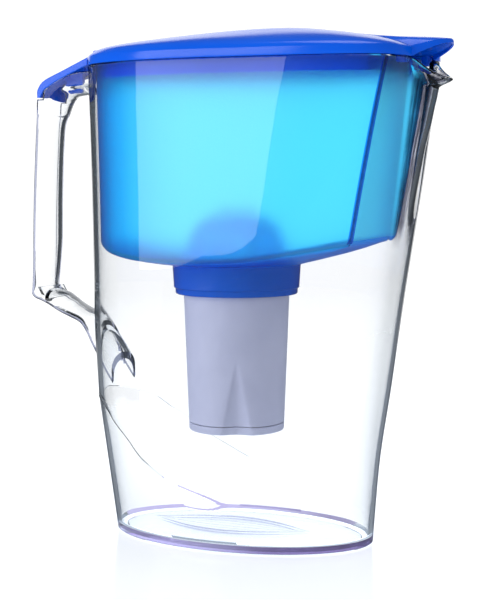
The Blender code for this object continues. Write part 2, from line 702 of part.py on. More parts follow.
def build_cartridge_head(material):
    low = CART_TOP + PIECE_GAP
    outer = ((30.6, low), (30.6, low + 1.8), (27.4, low + 3.0), (25.6, 152.0), (22.4, 160.0), (18.4, HEAD_TOP - 1.2))
    inner = ((16.6, HEAD_TOP - 2.4), (20.8, 159.6), (24.0, 151.6), (25.6, low + 2.4), (26.4, low))
    rings = [round_ring(8.0, HEAD_TOP), round_ring(16.6, HEAD_TOP)]
    rings += [round_ring(r, z) for r, z in reversed(outer)]
    rings += [round_ring(r, z) for r, z in reversed(inner)]
    top = (NECK_CENTRE, 0.0, HEAD_TOP)
    under = (NECK_CENTRE, 0.0, HEAD_TOP - 1.8)
    head = make_object("cartridge_head", head_loft(rings, top, under), material, CART_ORIGIN)
    slots = slot_prisms(12, 18.0, 32.0, 1.1, 148.0, 158.0)
    boolean(head, make_object("cartridge_head_slots", slots, None, CART_ORIGIN), "DIFFERENCE")
    grip = ((-12.0, HEAD_TOP - 1.0), (12.0, HEAD_TOP - 1.0), (9.5, GRIP_TOP - 1.2), (7.5, GRIP_TOP))
    grip += ((-7.5, GRIP_TOP), (-9.5, GRIP_TOP - 1.2))
    profile = [(NECK_CENTRE + x, z) for x, z in grip]
    boolean(head, make_object("cartridge_head_grip", prism(profile, 1.6), None, CART_ORIGIN), "UNION")
    return head


def head_loft(rings, top, under):
    """Cap with a closed roof: the outer rings run down, the inner rings run back up to the roof's underside."""
    low = max(range(len(rings)), key=lambda i: -rings[i][0][2])
    outer = rings[: low + 1]
    inner = rings[low + 1 :]
    inner = sorted(inner, key=lambda ring: ring[0][2])
    return loft(outer + inner, top, under)


def build_disc(name, radius_inset, low, high, material):
    """Plain slice of the space inside the cartridge, with the shell's flutes."""
    span = [h for h in (71, 82, 94) if low + 1 < h < high - 1]
    heights = [low] + span + [high]
    rings = [cart_ring(h, radius_inset) for h in heights]
    return make_object(name, loft(rings, "flat", "flat"), material, CART_ORIGIN)


def build_seal(material):
    low = SEAT_HEIGHT + PIECE_GAP
    high = CART_FLANGE_UNDER - PIECE_GAP
    rings = [round_ring(28.5, low), round_ring(31.1, low), round_ring(31.1, high), round_ring(28.5, high)]
    return make_object("seal_ring", loft(rings, loop=True), material, CART_ORIGIN)


def main():
    clear_scene()
    clear_plastic = make_material("clear_plastic", (0.93, 0.96, 1.0), 0.03, 1.0)
    blue_gloss = make_material("blue_gloss", (0.0, 0.09, 0.72), 0.18)
    blue_clear = make_material("blue_clear", (0.06, 0.48, 0.95), 0.25, 0.8)
    grey_plastic = make_material("grey_plastic", (0.6, 0.61, 0.74), 0.4)
    silicone = make_material("silicone", (0.85, 0.87, 0.9), 0.5)
    mesh_cloth = make_material("mesh_cloth", (0.9, 0.9, 0.92), 0.7)
    carbon = make_material("carbon", (0.02, 0.02, 0.02), 0.9)
    resin = make_material("resin", (0.72, 0.55, 0.3), 0.6)
    build_jug(clear_plastic)
    build_cover(blue_gloss)
    build_lid(blue_gloss)
    build_hopper(blue_clear)
    build_seal(silicone)
    build_cartridge_body(grey_plastic)
    build_cartridge_head(grey_plastic)
    build_cartridge_base(grey_plastic)
    inset = CART_WALL + BED_GAP
    build_disc("lower_screen", inset, CART_BOTTOM + 1.9, CART_BOTTOM + 1.9 + SCREEN_THICKNESS, mesh_cloth)
    build_disc("resin_bed", inset, CART_BOTTOM + 2.8, CARBON_BOTTOM - PIECE_GAP, resin)
    build_disc("carbon_bed", inset, CARBON_BOTTOM, CARBON_TOP, carbon)
    build_disc("upper_screen", inset, CARBON_TOP + PIECE_GAP, CARBON_TOP + PIECE_GAP + SCREEN_THICKNESS, mesh_cloth)


main()
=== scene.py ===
"""Looks of the water-filter jug: smooth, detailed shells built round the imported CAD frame, in metres.

Every shell is built in millimetres about the foot's middle, then shifted to the row frame. Heights come from
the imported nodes' boxes.
"""

import math

import bmesh
import bpy
import numpy as np
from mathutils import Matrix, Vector


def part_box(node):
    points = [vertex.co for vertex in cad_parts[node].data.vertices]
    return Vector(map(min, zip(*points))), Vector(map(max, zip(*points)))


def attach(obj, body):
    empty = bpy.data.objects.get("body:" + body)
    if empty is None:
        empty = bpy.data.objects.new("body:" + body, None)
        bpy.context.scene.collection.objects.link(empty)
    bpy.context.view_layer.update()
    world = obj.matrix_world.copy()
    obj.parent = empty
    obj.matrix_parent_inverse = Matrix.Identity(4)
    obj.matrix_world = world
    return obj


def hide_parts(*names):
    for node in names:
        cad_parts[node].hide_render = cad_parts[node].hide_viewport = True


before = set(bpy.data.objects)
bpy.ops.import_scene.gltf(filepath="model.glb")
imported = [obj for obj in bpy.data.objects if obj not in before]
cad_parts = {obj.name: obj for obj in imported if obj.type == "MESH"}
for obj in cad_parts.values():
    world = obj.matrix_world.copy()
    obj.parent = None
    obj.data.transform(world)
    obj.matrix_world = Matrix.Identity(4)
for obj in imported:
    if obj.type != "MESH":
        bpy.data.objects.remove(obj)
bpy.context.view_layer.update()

MM = 0.001

# ---- sizes read from the frame


def height_of(node, corner):
    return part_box(node)[corner][2] / MM


RIM_TOP = height_of("jug", 1)
NECK_CENTRE = -3.5
# The shift from the foot's middle to the row frame, found from the cartridge on the neck's axis.
CART_AXIS_X = (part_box("cartridge_body")[0][0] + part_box("cartridge_body")[1][0]) / 2
ROW_SHIFT = round(float(CART_AXIS_X / MM - NECK_CENTRE), 2)
SKIRT_BOTTOM = RIM_TOP + 0.3
FLANGE_TOP = height_of("hopper", 1)
NECK_BOTTOM = height_of("hopper", 0)
PLUG_BOTTOM = height_of("lid", 0)
CART_BOTTOM = height_of("cartridge_base", 0)
CART_TOP = height_of("cartridge_body", 1)

# ---- jug
# Tables give a measure at each height, in millimetres. A power of 2 is an ellipse, and a higher one is squarer.
RIM_LINE = 246
FOOT_HALF_LENGTH = 70.8
FOOT_HALF_WIDTH = 45.6
RIM_HALF_WIDTH = 52.3
RIM_CENTRE = 3.3
FRONT_REACH = ((0, 70.8), (39, 72.9), (82, 78.1), (124, 83.3), (155, 87.5), (190, 91.8), (222, 95.2), (246, 97.4))
FRONT_POWER = ((0, 2), (39, 2.3), (82, 2.7), (124, 3), (155, 3.3), (190, 3.8), (222, 4.3), (246, 5))
BACK_REACH = ((0, 78.6), (72, 82.5), (94, 83.9), (108, 84.6), (176, 85.6), (246, 87.2))
WALL = 2.6
FLOOR_TOP = 4
FOOT_BAND = 4.4
# Painted shade: the foot rim's darker part along the length: from, to and softness, in metres.
FOOT_SHADE_SPAN = (0.04, 0.09, 0.07)
CREASE = (
    (0, 73), (10.8, 71), (22.5, 66), (28.6, 60), (38.7, 51.5), (45.8, 44.5),
    (57, 38), (70, 32), (90, 26.5), (110, 24), (180, 22),
)
CREASE_RIDGE = 0.22
CREASE_RIDGE_HALF = 0.6
CREASE_RIDGE_END = 104
CREASE_RIDGE_FADE = 30
LEVEL_ABOVE = 88
SPOUT_HALF_WIDTH = 18
SPOUT_BULGE = ((146, 0), (155, 0.4), (164, 1), (177, 2.2), (190, 3.6), (203, 4.9), (215, 6.9), (227, 8), (246, 8.6))
LIP_FLARE = 6.4
LIP_FOLD = 237
LIP_FULL = 244
LIP_DIP = 9.4
DIP_START = 222
# Painted shade: grey streaks beside the spout, on its folds: from, to and softness, in metres.
FOLD_ACROSS = (0.006, 0.012, 0.003)
FOLD_HEIGHT = (0.165, 0.234, 0.014)
FOLD_REACH = (0.075, 0.14, 0.003)
LEAF_CENTRE = (-8, 2)
LEAF_HALF_LENGTH = 46
LEAF_HALF_WIDTH = 17
LEAF_POINT = 1.3
LEAF_DEPTH = 0.2

# ---- handle
# A channel: each station is a point (x, z) on its back, then the point opposite, at the tips of its two legs.
HANDLE_HALF_WIDTH = 12.9
HANDLE_WALL = 2.2
HANDLE_ARCH = 5.5
HANDLE_PATH = (
    (-78, 231.4, -78, 243), (-88, 231.2, -88, 243.2), (-97, 230.5, -97.6, 241.8),
    (-101.5, 229.5, -103, 239.6), (-104.7, 227.2, -108.7, 236.8), (-106.4, 224.6, -111.4, 234.9),
    (-107.9, 221.6, -112.8, 232.4), (-109.3, 218.4, -113.2, 228.9), (-109.6, 217.6, -116.8, 228.6),
    (-110.7, 213.8, -117.2, 219.5), (-111.5, 207, -117.8, 209), (-112.3, 196.2, -118.5, 197),
    (-112.9, 174.6, -119.6, 174.5), (-113.1, 155, -120.2, 153), (-114.2, 145, -120.4, 142),
    (-115.5, 136, -120.7, 133.5), (-116.4, 129.6, -121.1, 127.4), (-116.3, 127.4, -121.5, 124),
    (-115.9, 126.3, -119.6, 121.5), (-113.2, 125.5, -115.3, 119.9), (-109, 124.3, -110.6, 117.8),
    (-105, 121.7, -106.8, 115.7), (-100.9, 118.8, -102.6, 113.7), (-97.1, 116.8, -98.4, 112),
    (-90.6, 113.7, -91.4, 108.9), (-84.5, 109.3, -87.6, 104.3), (-79.4, 104, -84.6, 98.6),
    (-75, 98.4, -81.2, 92.6), (-71, 92.8, -77.6, 86.6), (-63, 81.6, -69.6, 75.4),
)
ELBOW_WEB = ((-117.6, 127.2), (-113.5, 120.1), (-112, 120.6), (-115.8, 127.2))
ELBOW_WEB_HALF_WIDTH = 12.3
ARM_END = -71
ARM_TOP = 125
ARM_BOTTOM = 60
# Where the thin clear plastic of the handle starts, outside the jug and on the arm inside it.
HANDLE_OUTSIDE = -88
ARM_IN_JUG = -80.5

# ---- handle cover
COVER_HALF_WIDTH = 14.2
COVER_WALL = 1
COVER_ARCH = 1.6
COVER_PATH = (
    (-80, 253.4, -79, 248.3), (-90, 249.1, -88.6, 244.6), (-101.2, 244.3, -99.6, 239.9),
    (-107, 241.9, -105, 237.4), (-110.6, 240.3, -108.6, 235.3), (-113.2, 238.6, -111.2, 233.8),
    (-115.2, 236.3, -112.3, 232.2), (-116.5, 233.6, -113.2, 230.6), (-116.9, 229.6, -113.6, 229.4),
)
COVER_GAP = 0.4
COVER_CUT = (235, 262)
COVER_RIB = ((-104.5, 234), (-102.6, 233.4), (-95.6, 233.4), (-94, 234.4), (-94, 246), (-104.5, 241.4))
COVER_RIB_HALF_WIDTH = 0.9

# ---- hopper
HOPPER_GAP = 2
HOPPER_WALL = 1.8
HOPPER_FRONT = ((154.7, 71.9), (242, 88.4))
HOPPER_POWER = ((155, 3), (246, 3.95))
FLANGE_INSET = 1.6
FLANGE_FRONT = 89.8
FLANGE_THICKNESS = 1.8
NECK_TOP = 142.5
NECK_TOP_RADIUS = 33.3
NECK_BOTTOM_RADIUS = 31.7
NECK_RING = 3.4
BORE_RADIUS = 28.9
SEAT_RADIUS = 31.4
SEAT_HEIGHT = 138
BOTTOM_SAG = 0.5
FORWARD_OF = 60
HOPPER_EDGE = ((-80, 152.5), (-62, 147), (-40, 144.6), (-10, 143.9), (10, 144.6), (74, 155))

# ---- lid
SKIRT_THICKNESS = 1
LID_EDGE = 250
LID_UNDER = 248
LID_THICKNESS = 2
LID_PEAK = 12.6
LID_FRONT = ((0, 12.6), (0.34, 11.8), (0.59, 9.3), (0.76, 6.8), (0.9, 4), (0.97, 2), (1, 0.6))
LID_BILL = ((0, 12.6), (0.29, 11.8), (0.51, 9.3), (0.66, 7.4), (0.8, 6.4), (0.9, 6), (0.96, 5.6), (1, 5))
LID_BACK = ((0, 12.6), (0.31, 10.6), (0.63, 7.8), (0.83, 5.7), (0.94, 3.7), (0.98, 2), (1, 0.6))
BILL_LENGTH = 14.2
BILL_HALF_WIDTH = 17.6
BILL_UNDER = 253
BILL_SIDE = 254.4
PLUG_INSET = 8.2
PLUG_FRONT = 80.8
PLUG_WALL = 1.6
THUMB_TAB = ((-84.3, 250.8), (-84.3, 253.6), (-83.8, 254.1), (-79, 254.6), (-76, 254.4), (-76, 251))
THUMB_HALF_WIDTH = 8
NUB = ((90.4, 249), (90.4, 243.6), (91, 243), (93.6, 243), (94.2, 243.6), (94.2, 249))
NUB_PLACE = 20
NUB_HALF_WIDTH = 2.4

# ---- cartridge
CART_SEAM = 59.8
CART_BOTTOM_RADIUS = 24.7
CART_DRAFT = 0.038
CART_WALL = 1.4
CART_FLANGE_UNDER = 140.3
CART_FLANGE_RADIUS = 30.9
FLUTES = 3
FLUTE_TURN = -65
FLUTE_TOP = 94
FLUTE_DEPTH = 4.2
FLUTE_HALF_WIDTH = 13
SLOTS = 12
SLOT_REACH = (6, 14.5)
SLOT_HALF_WIDTH = 0.7
PIECE_GAP = 0.3

# ---- camera and room, in degrees and metres
CAMERA_AZIMUTH = 24.76
CAMERA_PITCH = 4.98
CAMERA_DISTANCE = 0.8324
CAMERA_HEIGHT = 0.1958
CAMERA_SIDE = -0.0024
CAMERA_LENS = 95.94
SOFTBOX_AZIMUTH = -39
BACKGROUND_WHITE = 1.14
ROOM_LIGHT = 0.5
ROOM_REFLECTION = 0.1
BOUNCES = 16
FLOOR_RADIUS = 1.6
FLOOR_FADE = 0.25
FLOOR_GLOW = 0.42

# ---- mesh columns
JUG_COLUMNS = 110
LID_COLUMNS = 110
CART_COLUMNS = 240
HOPPER_SIDE_COLUMNS = 90
HOPPER_FRONT_COLUMNS = 16
OVAL_POINTS = 500
CHANNEL_STEPS = 18


# ---- geometry helpers


def table(value, rows):
    """Smooth curve through a small table, with no overshoot."""
    xs = np.array([row[0] for row in rows], dtype=float)
    ys = np.array([row[1] for row in rows], dtype=float)
    steps = np.diff(ys) / np.diff(xs)
    slopes = np.zeros(len(xs))
    slopes[0] = steps[0]
    slopes[-1] = steps[-1]
    for i in range(1, len(xs) - 1):
        if steps[i - 1] * steps[i] > 0:
            slopes[i] = 2 * steps[i - 1] * steps[i] / (steps[i - 1] + steps[i])
    value = np.clip(np.asarray(value, dtype=float), xs[0], xs[-1])
    i = np.clip(np.searchsorted(xs, value, side="right") - 1, 0, len(xs) - 2)
    width = xs[i + 1] - xs[i]
    t = (value - xs[i]) / width
    first = (1 + 2 * t) * (1 - t) ** 2 * ys[i] + t * (1 - t) ** 2 * width * slopes[i]
    second = t * t * (3 - 2 * t) * ys[i + 1] + t * t * (t - 1) * width * slopes[i + 1]
    return first + second


def inward(points, inset):
    """Shift a half outline (back middle to front middle) inwards by a distance."""
    ahead = np.vstack([points[1:], points[-2:-1] * (1, -1)])
    behind = np.vstack([points[1:2] * (1, -1), points[:-1]])
    along = ahead - behind
    along /= np.linalg.norm(along, axis=1)[:, None]
    side = np.column_stack([along[:, 1], -along[:, 0]])
    return points + side * inset


def pinned(points):
    """Half outline with its two ends exactly on the middle line."""
    points[0, 1] = 0.0
    points[-1, 1] = 0.0
    return points


def oval(height, inset=0.0, foot=False, rows=FRONT_POWER):
    """Half outline of the jug at a height, from the back middle round +Y to the front middle."""
    rise = 0.0 if foot else height / RIM_LINE
    half_width = FOOT_HALF_WIDTH + (RIM_HALF_WIDTH - FOOT_HALF_WIDTH) * rise
    centre = RIM_CENTRE * rise
    back = FOOT_HALF_LENGTH if foot else float(table(height, BACK_REACH))
    front = FOOT_HALF_LENGTH if foot else float(table(height, FRONT_REACH))
    power = 2.0 if foot else float(table(height, rows))
    turn = np.linspace(math.pi, math.pi / 2, OVAL_POINTS, endpoint=False)
    rear = np.column_stack([centre + (back + centre) * np.cos(turn), half_width * np.sin(turn)])
    turn = np.linspace(math.pi / 2, 0, OVAL_POINTS)
    cosine = np.clip(np.cos(turn), 0, 1) ** (2 / power)
    sine = np.clip(np.sin(turn), 0, 1) ** (2 / power)
    fore = np.column_stack([centre + (front - centre) * cosine, half_width * sine])
    points = pinned(np.vstack([rear, fore]))
    return pinned(inward(points, inset)) if inset else points


def resample(points, columns):
    """Points at columns of an outline's length."""
    lengths = np.concatenate([[0], np.cumsum(np.linalg.norm(np.diff(points, axis=0), axis=1))])
    at = np.asarray(columns) * lengths[-1]
    return np.column_stack([np.interp(at, lengths, points[:, 0]), np.interp(at, lengths, points[:, 1])])


def column_fractions(count):
    """Arc columns of the columns: closer together at the spout and the front corners."""
    points = oval(RIM_LINE)
    steps = np.diff(points, axis=0)
    lengths = np.linalg.norm(steps, axis=1)
    headings = np.unwrap(np.arctan2(steps[:, 1], steps[:, 0]))
    turning = np.abs(np.gradient(headings)) / lengths
    middle = (points[1:] + points[:-1]) / 2
    weight = 1.0 + 40.0 * np.minimum(turning, 0.06)
    weight += 1.6 * (np.abs(middle[:, 1]) < SPOUT_HALF_WIDTH + 3)
    spent = np.concatenate([[0], np.cumsum(weight * lengths)])
    travelled = np.concatenate([[0], np.cumsum(lengths)])
    wanted = np.linspace(0, spent[-1], count + 1)
    return np.interp(wanted, spent, travelled) / travelled[-1]


def foot_outline(inset, columns):
    return resample(oval(0.0, inset, foot=True), columns)


def back_angles(columns):
    """Degrees round from the back at each column."""
    points = resample(oval(60.0), columns)
    return np.degrees(np.arctan2(points[:, 1], -points[:, 0]))


def crease_heights(columns):
    return table(back_angles(columns), CREASE)


def off_middle(points, half_width):
    """Zero on the middle line, one from the half width on."""
    return np.clip(np.abs(points[:, 1]) / half_width, 0, 1)


def spout(points, height):
    """How far the front wall is pushed out at each point."""
    near = off_middle(points, SPOUT_HALF_WIDTH)
    bulge = table(height, SPOUT_BULGE) * np.cos(math.pi * near / 2) ** 2
    fold = LIP_FOLD + (RIM_TOP - LIP_FOLD) * near**2
    flare = np.clip((height - fold) / np.maximum(LIP_FULL - fold, 1.6), 0, 1)
    flare = flare * flare * (3 - 2 * flare)
    lip = LIP_FLARE * flare * np.sqrt(np.clip(1 - near**2, 0, 1))
    curl = np.clip(height - LIP_FULL, 0, 3) * 0.6 * (1 - near)
    return np.where(points[:, 0] > 0, bulge + lip - curl, 0.0)


def rim_dip(points, height):
    """How far the rim and the wall just below it hang lower in the middle of the pouring lip."""
    near = off_middle(points, SPOUT_HALF_WIDTH)
    share = np.clip((height - DIP_START) / (RIM_TOP - DIP_START), 0, 1)
    return np.where(points[:, 0] > 0, LIP_DIP * share * (1 - near**2), 0.0)


def level_ring(height, columns, inset=0.0):
    """Half ring of the jug's wall at one height above the crease, lower at the pouring lip."""
    points = resample(oval(height, inset), columns)
    points[:, 0] += spout(points, height)
    return np.column_stack([points, height - rim_dip(points, height)])


def wall_ring(heights, columns, inset=0.0):
    """Half ring of the jug's wall, one height per column."""
    crease = crease_heights(columns)
    foot = foot_outline(inset, columns)
    rows = []
    for i, height in enumerate(heights):
        upper = max(height, crease[i])
        point = resample(oval(upper, inset), columns[i : i + 1])
        point[:, 0] += spout(point, upper)
        share = min(height / crease[i], 1.0)
        rows.append((*(foot[i] * (1 - share) + point[0] * share), height))
    return np.array(rows)


def whole(half):
    """Full ring from a half ring."""
    return np.vstack([half, half[-2:0:-1] * (1, -1, 1)])


def flat_half(points, height):
    return np.column_stack([points, np.full(len(points), float(height))])


def loft(rings, start="fan", end="fan", loop=False):
    """Closed mesh (points, faces) through rings of equal length; an end is flat or a fan to a point."""
    count = len(rings[0])
    points = [tuple(p) for ring in rings for p in ring]
    sides = [(i, (i + 1) % count) for i in range(count)]
    faces = []
    for r in range(len(rings) if loop else len(rings) - 1):
        a = r * count
        b = (r + 1) % len(rings) * count
        faces += [(a + i, a + j, b + j, b + i) for i, j in sides]
    if not loop:
        for closing, r in ((start, 0), (end, len(rings) - 1)):
            base = r * count
            if closing == "flat":
                faces.append(tuple(range(base, base + count)))
            else:
                points.append(closing if isinstance(closing, tuple) else tuple(np.mean(rings[r], axis=0)))
                faces += [(base + i, base + j, len(points) - 1) for i, j in sides]
    return points, faces


def place_object(name, data):
    item = bpy.data.objects.new(name, data)
    bpy.context.scene.collection.objects.link(item)
    return item


def make_object(name, shape, material=None):
    """Object from millimetre points, shifted into the row frame."""
    points, faces = shape
    moved = [((p[0] + ROW_SHIFT) * MM, p[1] * MM, p[2] * MM) for p in points]
    mesh = bpy.data.meshes.new(name)
    mesh.from_pydata(moved, [], faces)
    work = bmesh.new()
    work.from_mesh(mesh)
    bmesh.ops.remove_doubles(work, verts=work.verts, dist=1e-6)
    bmesh.ops.recalc_face_normals(work, faces=work.faces)
    if work.calc_volume(signed=True) < 0:
        bmesh.ops.reverse_faces(work, faces=work.faces)
    work.to_mesh(mesh)
    work.free()
    if material is not None:
        mesh.materials.append(material)
    return place_object(name, mesh)


def combine(item, cutter, operation):
    """Apply a Boolean and drop the cutter."""
    modifier = item.modifiers.new(operation, "BOOLEAN")
    modifier.operation = operation
    modifier.solver = "EXACT"
    modifier.object = cutter
    bake_modifiers(item)
    bpy.data.objects.remove(cutter, do_unlink=True)


def bake_modifiers(item):
    """Put the result of an object's modifiers into its mesh."""
    graph = bpy.context.evaluated_depsgraph_get()
    graph.update()
    old = item.data
    item.data = bpy.data.meshes.new_from_object(item.evaluated_get(graph))
    item.modifiers.clear()
    bpy.data.meshes.remove(old)


def smooth(item, angle=35.0, bevel=0.0, segments=2):
    """Smooth shading with crisp edges, and a fine rounding on them."""
    if bevel:
        modifier = item.modifiers.new("edge_round", "BEVEL")
        modifier.width = bevel * MM
        modifier.segments = segments
        modifier.limit_method = "ANGLE"
        modifier.angle_limit = math.radians(angle)
        bake_modifiers(item)
    mesh = item.data
    for polygon in mesh.polygons:
        polygon.use_smooth = True
    mesh.set_sharp_from_angle(angle=math.radians(angle))


def prism(profile, half_width):
    """Solid from a side profile (x, z), as wide as twice the half width."""
    rings = [[(x, y, z) for x, z in profile] for y in (-half_width, half_width)]
    return loft(rings, "flat", "flat")


def refine(path, steps):
    """More stations (back, tip) along a channel's path, on smooth curves through the given ones."""
    rows = np.array(path)
    moves = np.linalg.norm(np.diff(rows, axis=0), axis=1)
    at = np.concatenate([[0], np.cumsum(moves)])
    wanted = []
    for i in range(len(at) - 1):
        wanted.extend(np.linspace(at[i], at[i + 1], steps, endpoint=False))
    wanted.append(at[-1])
    curves = [table(wanted, list(zip(at, rows[:, k]))) for k in range(4)]
    return [((a, b), (c, d)) for a, b, c, d in zip(*curves)]


def channel_section(back, tip, half_width, back_wall, leg_wall, arch):
    """Closed cross-section of a rounded channel from its back line to its rounded leg tips."""
    depth = math.hypot(tip[0] - back[0], tip[1] - back[1])
    unit = ((tip[0] - back[0]) / depth, (tip[1] - back[1]) / depth)
    rise = min(arch, 0.72 * depth)
    nose = min(leg_wall * 0.35, 0.7)
    outer = [(half_width - nose, depth), (half_width, depth - nose)]
    turns = [math.pi * i / CHANNEL_STEPS for i in range(CHANNEL_STEPS + 1)]
    outer += [(half_width * math.cos(turn), rise * (1 - math.sin(turn) ** 0.8)) for turn in turns]
    outer += [(-half_width, depth - nose), (-half_width + nose, depth)]
    inside = half_width - leg_wall
    inner = [(-inside - nose, depth), (-inside, depth - nose)]
    for turn in reversed(turns):
        down = min(back_wall + rise * (1 - math.sin(turn) ** 0.8), depth - nose - 0.2)
        inner.append((inside * math.cos(turn), down))
    inner += [(inside, depth - nose), (inside + nose, depth)]
    return [(back[0] + unit[0] * d, y, back[1] + unit[1] * d) for y, d in outer + inner]


def channel(path, half_width, back_wall, leg_wall, arch):
    """Solid channel along a path of (back, tip) stations."""
    rings = [channel_section(b, t, half_width, back_wall, leg_wall, arch) for b, t in path]
    return loft(rings, "flat", "flat")


# ---- jug


def ridge_ring(heights, columns):
    """Crest of the fine ridge along the crease, which dies out at the jug's sides."""
    share = np.clip((CREASE_RIDGE_END - back_angles(columns)) / CREASE_RIDGE_FADE, 0, 1)[:, None]
    flat = wall_ring(heights, columns, 0.0)
    proud = wall_ring(heights, columns, -CREASE_RIDGE)
    return flat * (1 - share) + proud * share


def jug_side(columns, lowest, inset):
    """Rings of one face of the jug's wall, from the bottom up."""
    crease = np.maximum(crease_heights(columns), lowest + 2)
    first = crease - CREASE_RIDGE_HALF
    rings = [wall_ring(np.full(len(crease), lowest), columns, inset)]
    if inset == 0.0:
        rings.append(wall_ring(np.full(len(crease), FOOT_BAND), columns, inset))
    for share in (0.25, 0.5, 0.75, 1.0):
        rings.append(wall_ring(lowest + (first - lowest) * share, columns, inset))
    if inset == 0.0:
        rings += [ridge_ring(crease + side * CREASE_RIDGE_HALF * 0.4, columns) for side in (-1, 1)]
    second = crease + CREASE_RIDGE_HALF
    for share in np.linspace(0, 1, 10):
        rings.append(wall_ring(second + (LEVEL_ABOVE - second) * share, columns, inset))
    heights = list(np.arange(LEVEL_ABOVE + 3.0, 230.0, 3.0)) + list(np.arange(230.0, RIM_TOP - 1.0, 0.8))
    return rings + [level_ring(height, columns, inset) for height in heights]


def handle_solid():
    """Channel handle: its top ends in the wall, and the end of its lower arm stands inside the jug as a rib."""
    path = refine(HANDLE_PATH, 5)
    shape = channel(path, HANDLE_HALF_WIDTH, HANDLE_WALL, HANDLE_WALL, HANDLE_ARCH)
    handle = make_object("handle_part", shape)
    combine(handle, make_object("web_part", prism(ELBOW_WEB, ELBOW_WEB_HALF_WIDTH)), "UNION")
    columns = column_fractions(60)
    rings = [whole(level_ring(height, columns, WALL * 0.5)) for height in np.arange(ARM_TOP, 248.0, 4.0)]
    rings.append(rings[-1] + (0, 0, 20))
    combine(handle, make_object("top_end_part", loft(rings, "flat", "flat")), "DIFFERENCE")
    beyond = ((ARM_END, 40.0), (ARM_END + 40, 40.0), (ARM_END + 40, ARM_TOP), (ARM_END, ARM_TOP))
    combine(handle, make_object("arm_end_part", prism(beyond, 30.0)), "DIFFERENCE")
    return handle


def leaf_depth(points):
    """Shallow leaf-shaped relief on the jug's floor."""
    u = (points[:, 0] - LEAF_CENTRE[0]) / LEAF_HALF_LENGTH
    v = (points[:, 1] - LEAF_CENTRE[1]) / LEAF_HALF_WIDTH
    half = np.clip(1 - u * u, 0, 1) ** LEAF_POINT
    inside = np.clip(1 - (np.abs(v) / np.maximum(half, 1e-3)) ** 2, 0, 1) * (np.abs(u) < 1)
    veins = 0.5 + 0.5 * np.cos(3 * math.pi * v / np.maximum(half, 0.08))
    return LEAF_DEPTH * inside * (0.6 + 0.4 * veins)


def floor_rings(columns, inset):
    """Rings of the jug's floor, from the wall to the middle, with the leaf sunk into it."""
    edge = foot_outline(inset, columns)
    rings = [whole(flat_half(edge * share, FLOOR_TOP)) for share in np.linspace(0.97, 0.03, 36)]
    for ring in rings:
        ring[:, 2] -= leaf_depth(ring[:, :2])
    return rings


# Points close together along the tips of the handle's legs, to find the faces there.
HANDLE_TIPS = np.array([tip for back, tip in refine(HANDLE_PATH, 60)])


def on_handle(centre, normal):
    """The handle outside the jug, and its lower arm inside it."""
    x = centre.x - ROW_SHIFT
    on_arm = ARM_IN_JUG < x < ARM_END + 0.5 and ARM_BOTTOM < centre.z < ARM_TOP
    return x < HANDLE_OUTSIDE or (on_arm and abs(centre.y) < HANDLE_HALF_WIDTH + 0.3)


def on_handle_edge(centre, normal):
    """The faces at the ends of the handle's legs, and the lower arm's cut end."""
    x = centre.x - ROW_SHIFT
    if normal.x > 0.95 and abs(x - ARM_END) < 0.3 and centre.z < ARM_TOP:
        return True
    if x > ARM_END or not HANDLE_HALF_WIDTH - HANDLE_WALL - 0.3 < abs(centre.y) < HANDLE_HALF_WIDTH + 0.1:
        return False
    return float(np.hypot(HANDLE_TIPS[:, 0] - x, HANDLE_TIPS[:, 1] - centre.z).min()) < 0.9


def build_jug(material):
    """Jug and handle in one: rings from the foot's underside up the outside and down the inside to the floor."""
    columns = column_fractions(JUG_COLUMNS)
    recess = foot_outline(6.0, columns)
    rings = [flat_half(recess * 0.5, 1.0), flat_half(recess, 1.0)]
    rings += [flat_half(foot_outline(inset, columns), 0.0) for inset in (5.0, 0.9)]
    rings += jug_side(columns, 0.7, 0.0)
    for below, inset in ((0.6, 0.0), (0.1, 0.4), (0.0, 1.0), (0.0, WALL - 0.8), (0.3, WALL - 0.2)):
        rings.append(level_ring(RIM_TOP - below, columns, inset))
    rings += reversed(jug_side(columns, FLOOR_TOP + 1.6, WALL))
    for inset, lift in ((WALL + 0.6, 0.5), (WALL + 1.6, 0.0)):
        rings.append(flat_half(foot_outline(inset, columns), FLOOR_TOP + lift))
    rings = [whole(ring) for ring in rings] + floor_rings(columns, WALL + 1.6)
    jug = make_object("jug_shell", loft(rings), material)
    combine(jug, handle_solid(), "UNION")
    smooth(jug, 32.0)
    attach(jug, "jug_body")
    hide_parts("jug")
    paint_region(jug, see_through("jug_handle_clear")[0], on_handle)
    paint_region(jug, see_through("jug_edge_painted_shade")[0], on_handle_edge)
    paint_region(jug, floor_plastic(), lambda centre, normal: centre.z < FLOOR_TOP + 2 and abs(normal.z) > 0.6)
    paint_region(jug, foot_plastic(), lambda centre, normal: centre.z < FLOOR_TOP - 0.5 and abs(normal.z) <= 0.6)


# ---- hopper


def cut_front(points, plane):
    """Pull points in front of a plane back to it, along lines to the centre."""
    points = points.copy()
    beyond = points[:, 0] > plane
    share = (plane - RIM_CENTRE) / (points[beyond, 0] - RIM_CENTRE)
    points[beyond, 0] = plane
    points[beyond, 1] *= share
    return points


def squared(points, plane):
    """Half outline cut square at the front plane, with a column exactly on its corner."""
    ahead = int(np.argmax((points[:, 0] >= plane) & (np.arange(len(points)) > len(points) // 2)))
    a = points[ahead - 1]
    b = points[ahead]
    share = (plane - a[0]) / (b[0] - a[0])
    corner = a + (b - a) * share
    side = resample(np.vstack([points[:ahead], corner]), np.linspace(0, 1, HOPPER_SIDE_COLUMNS + 1))
    shares = np.arange(1, HOPPER_FRONT_COLUMNS + 1) / HOPPER_FRONT_COLUMNS
    face = np.column_stack([np.full(HOPPER_FRONT_COLUMNS, plane), corner[1] * (1 - shares)])
    return np.vstack([side, face])


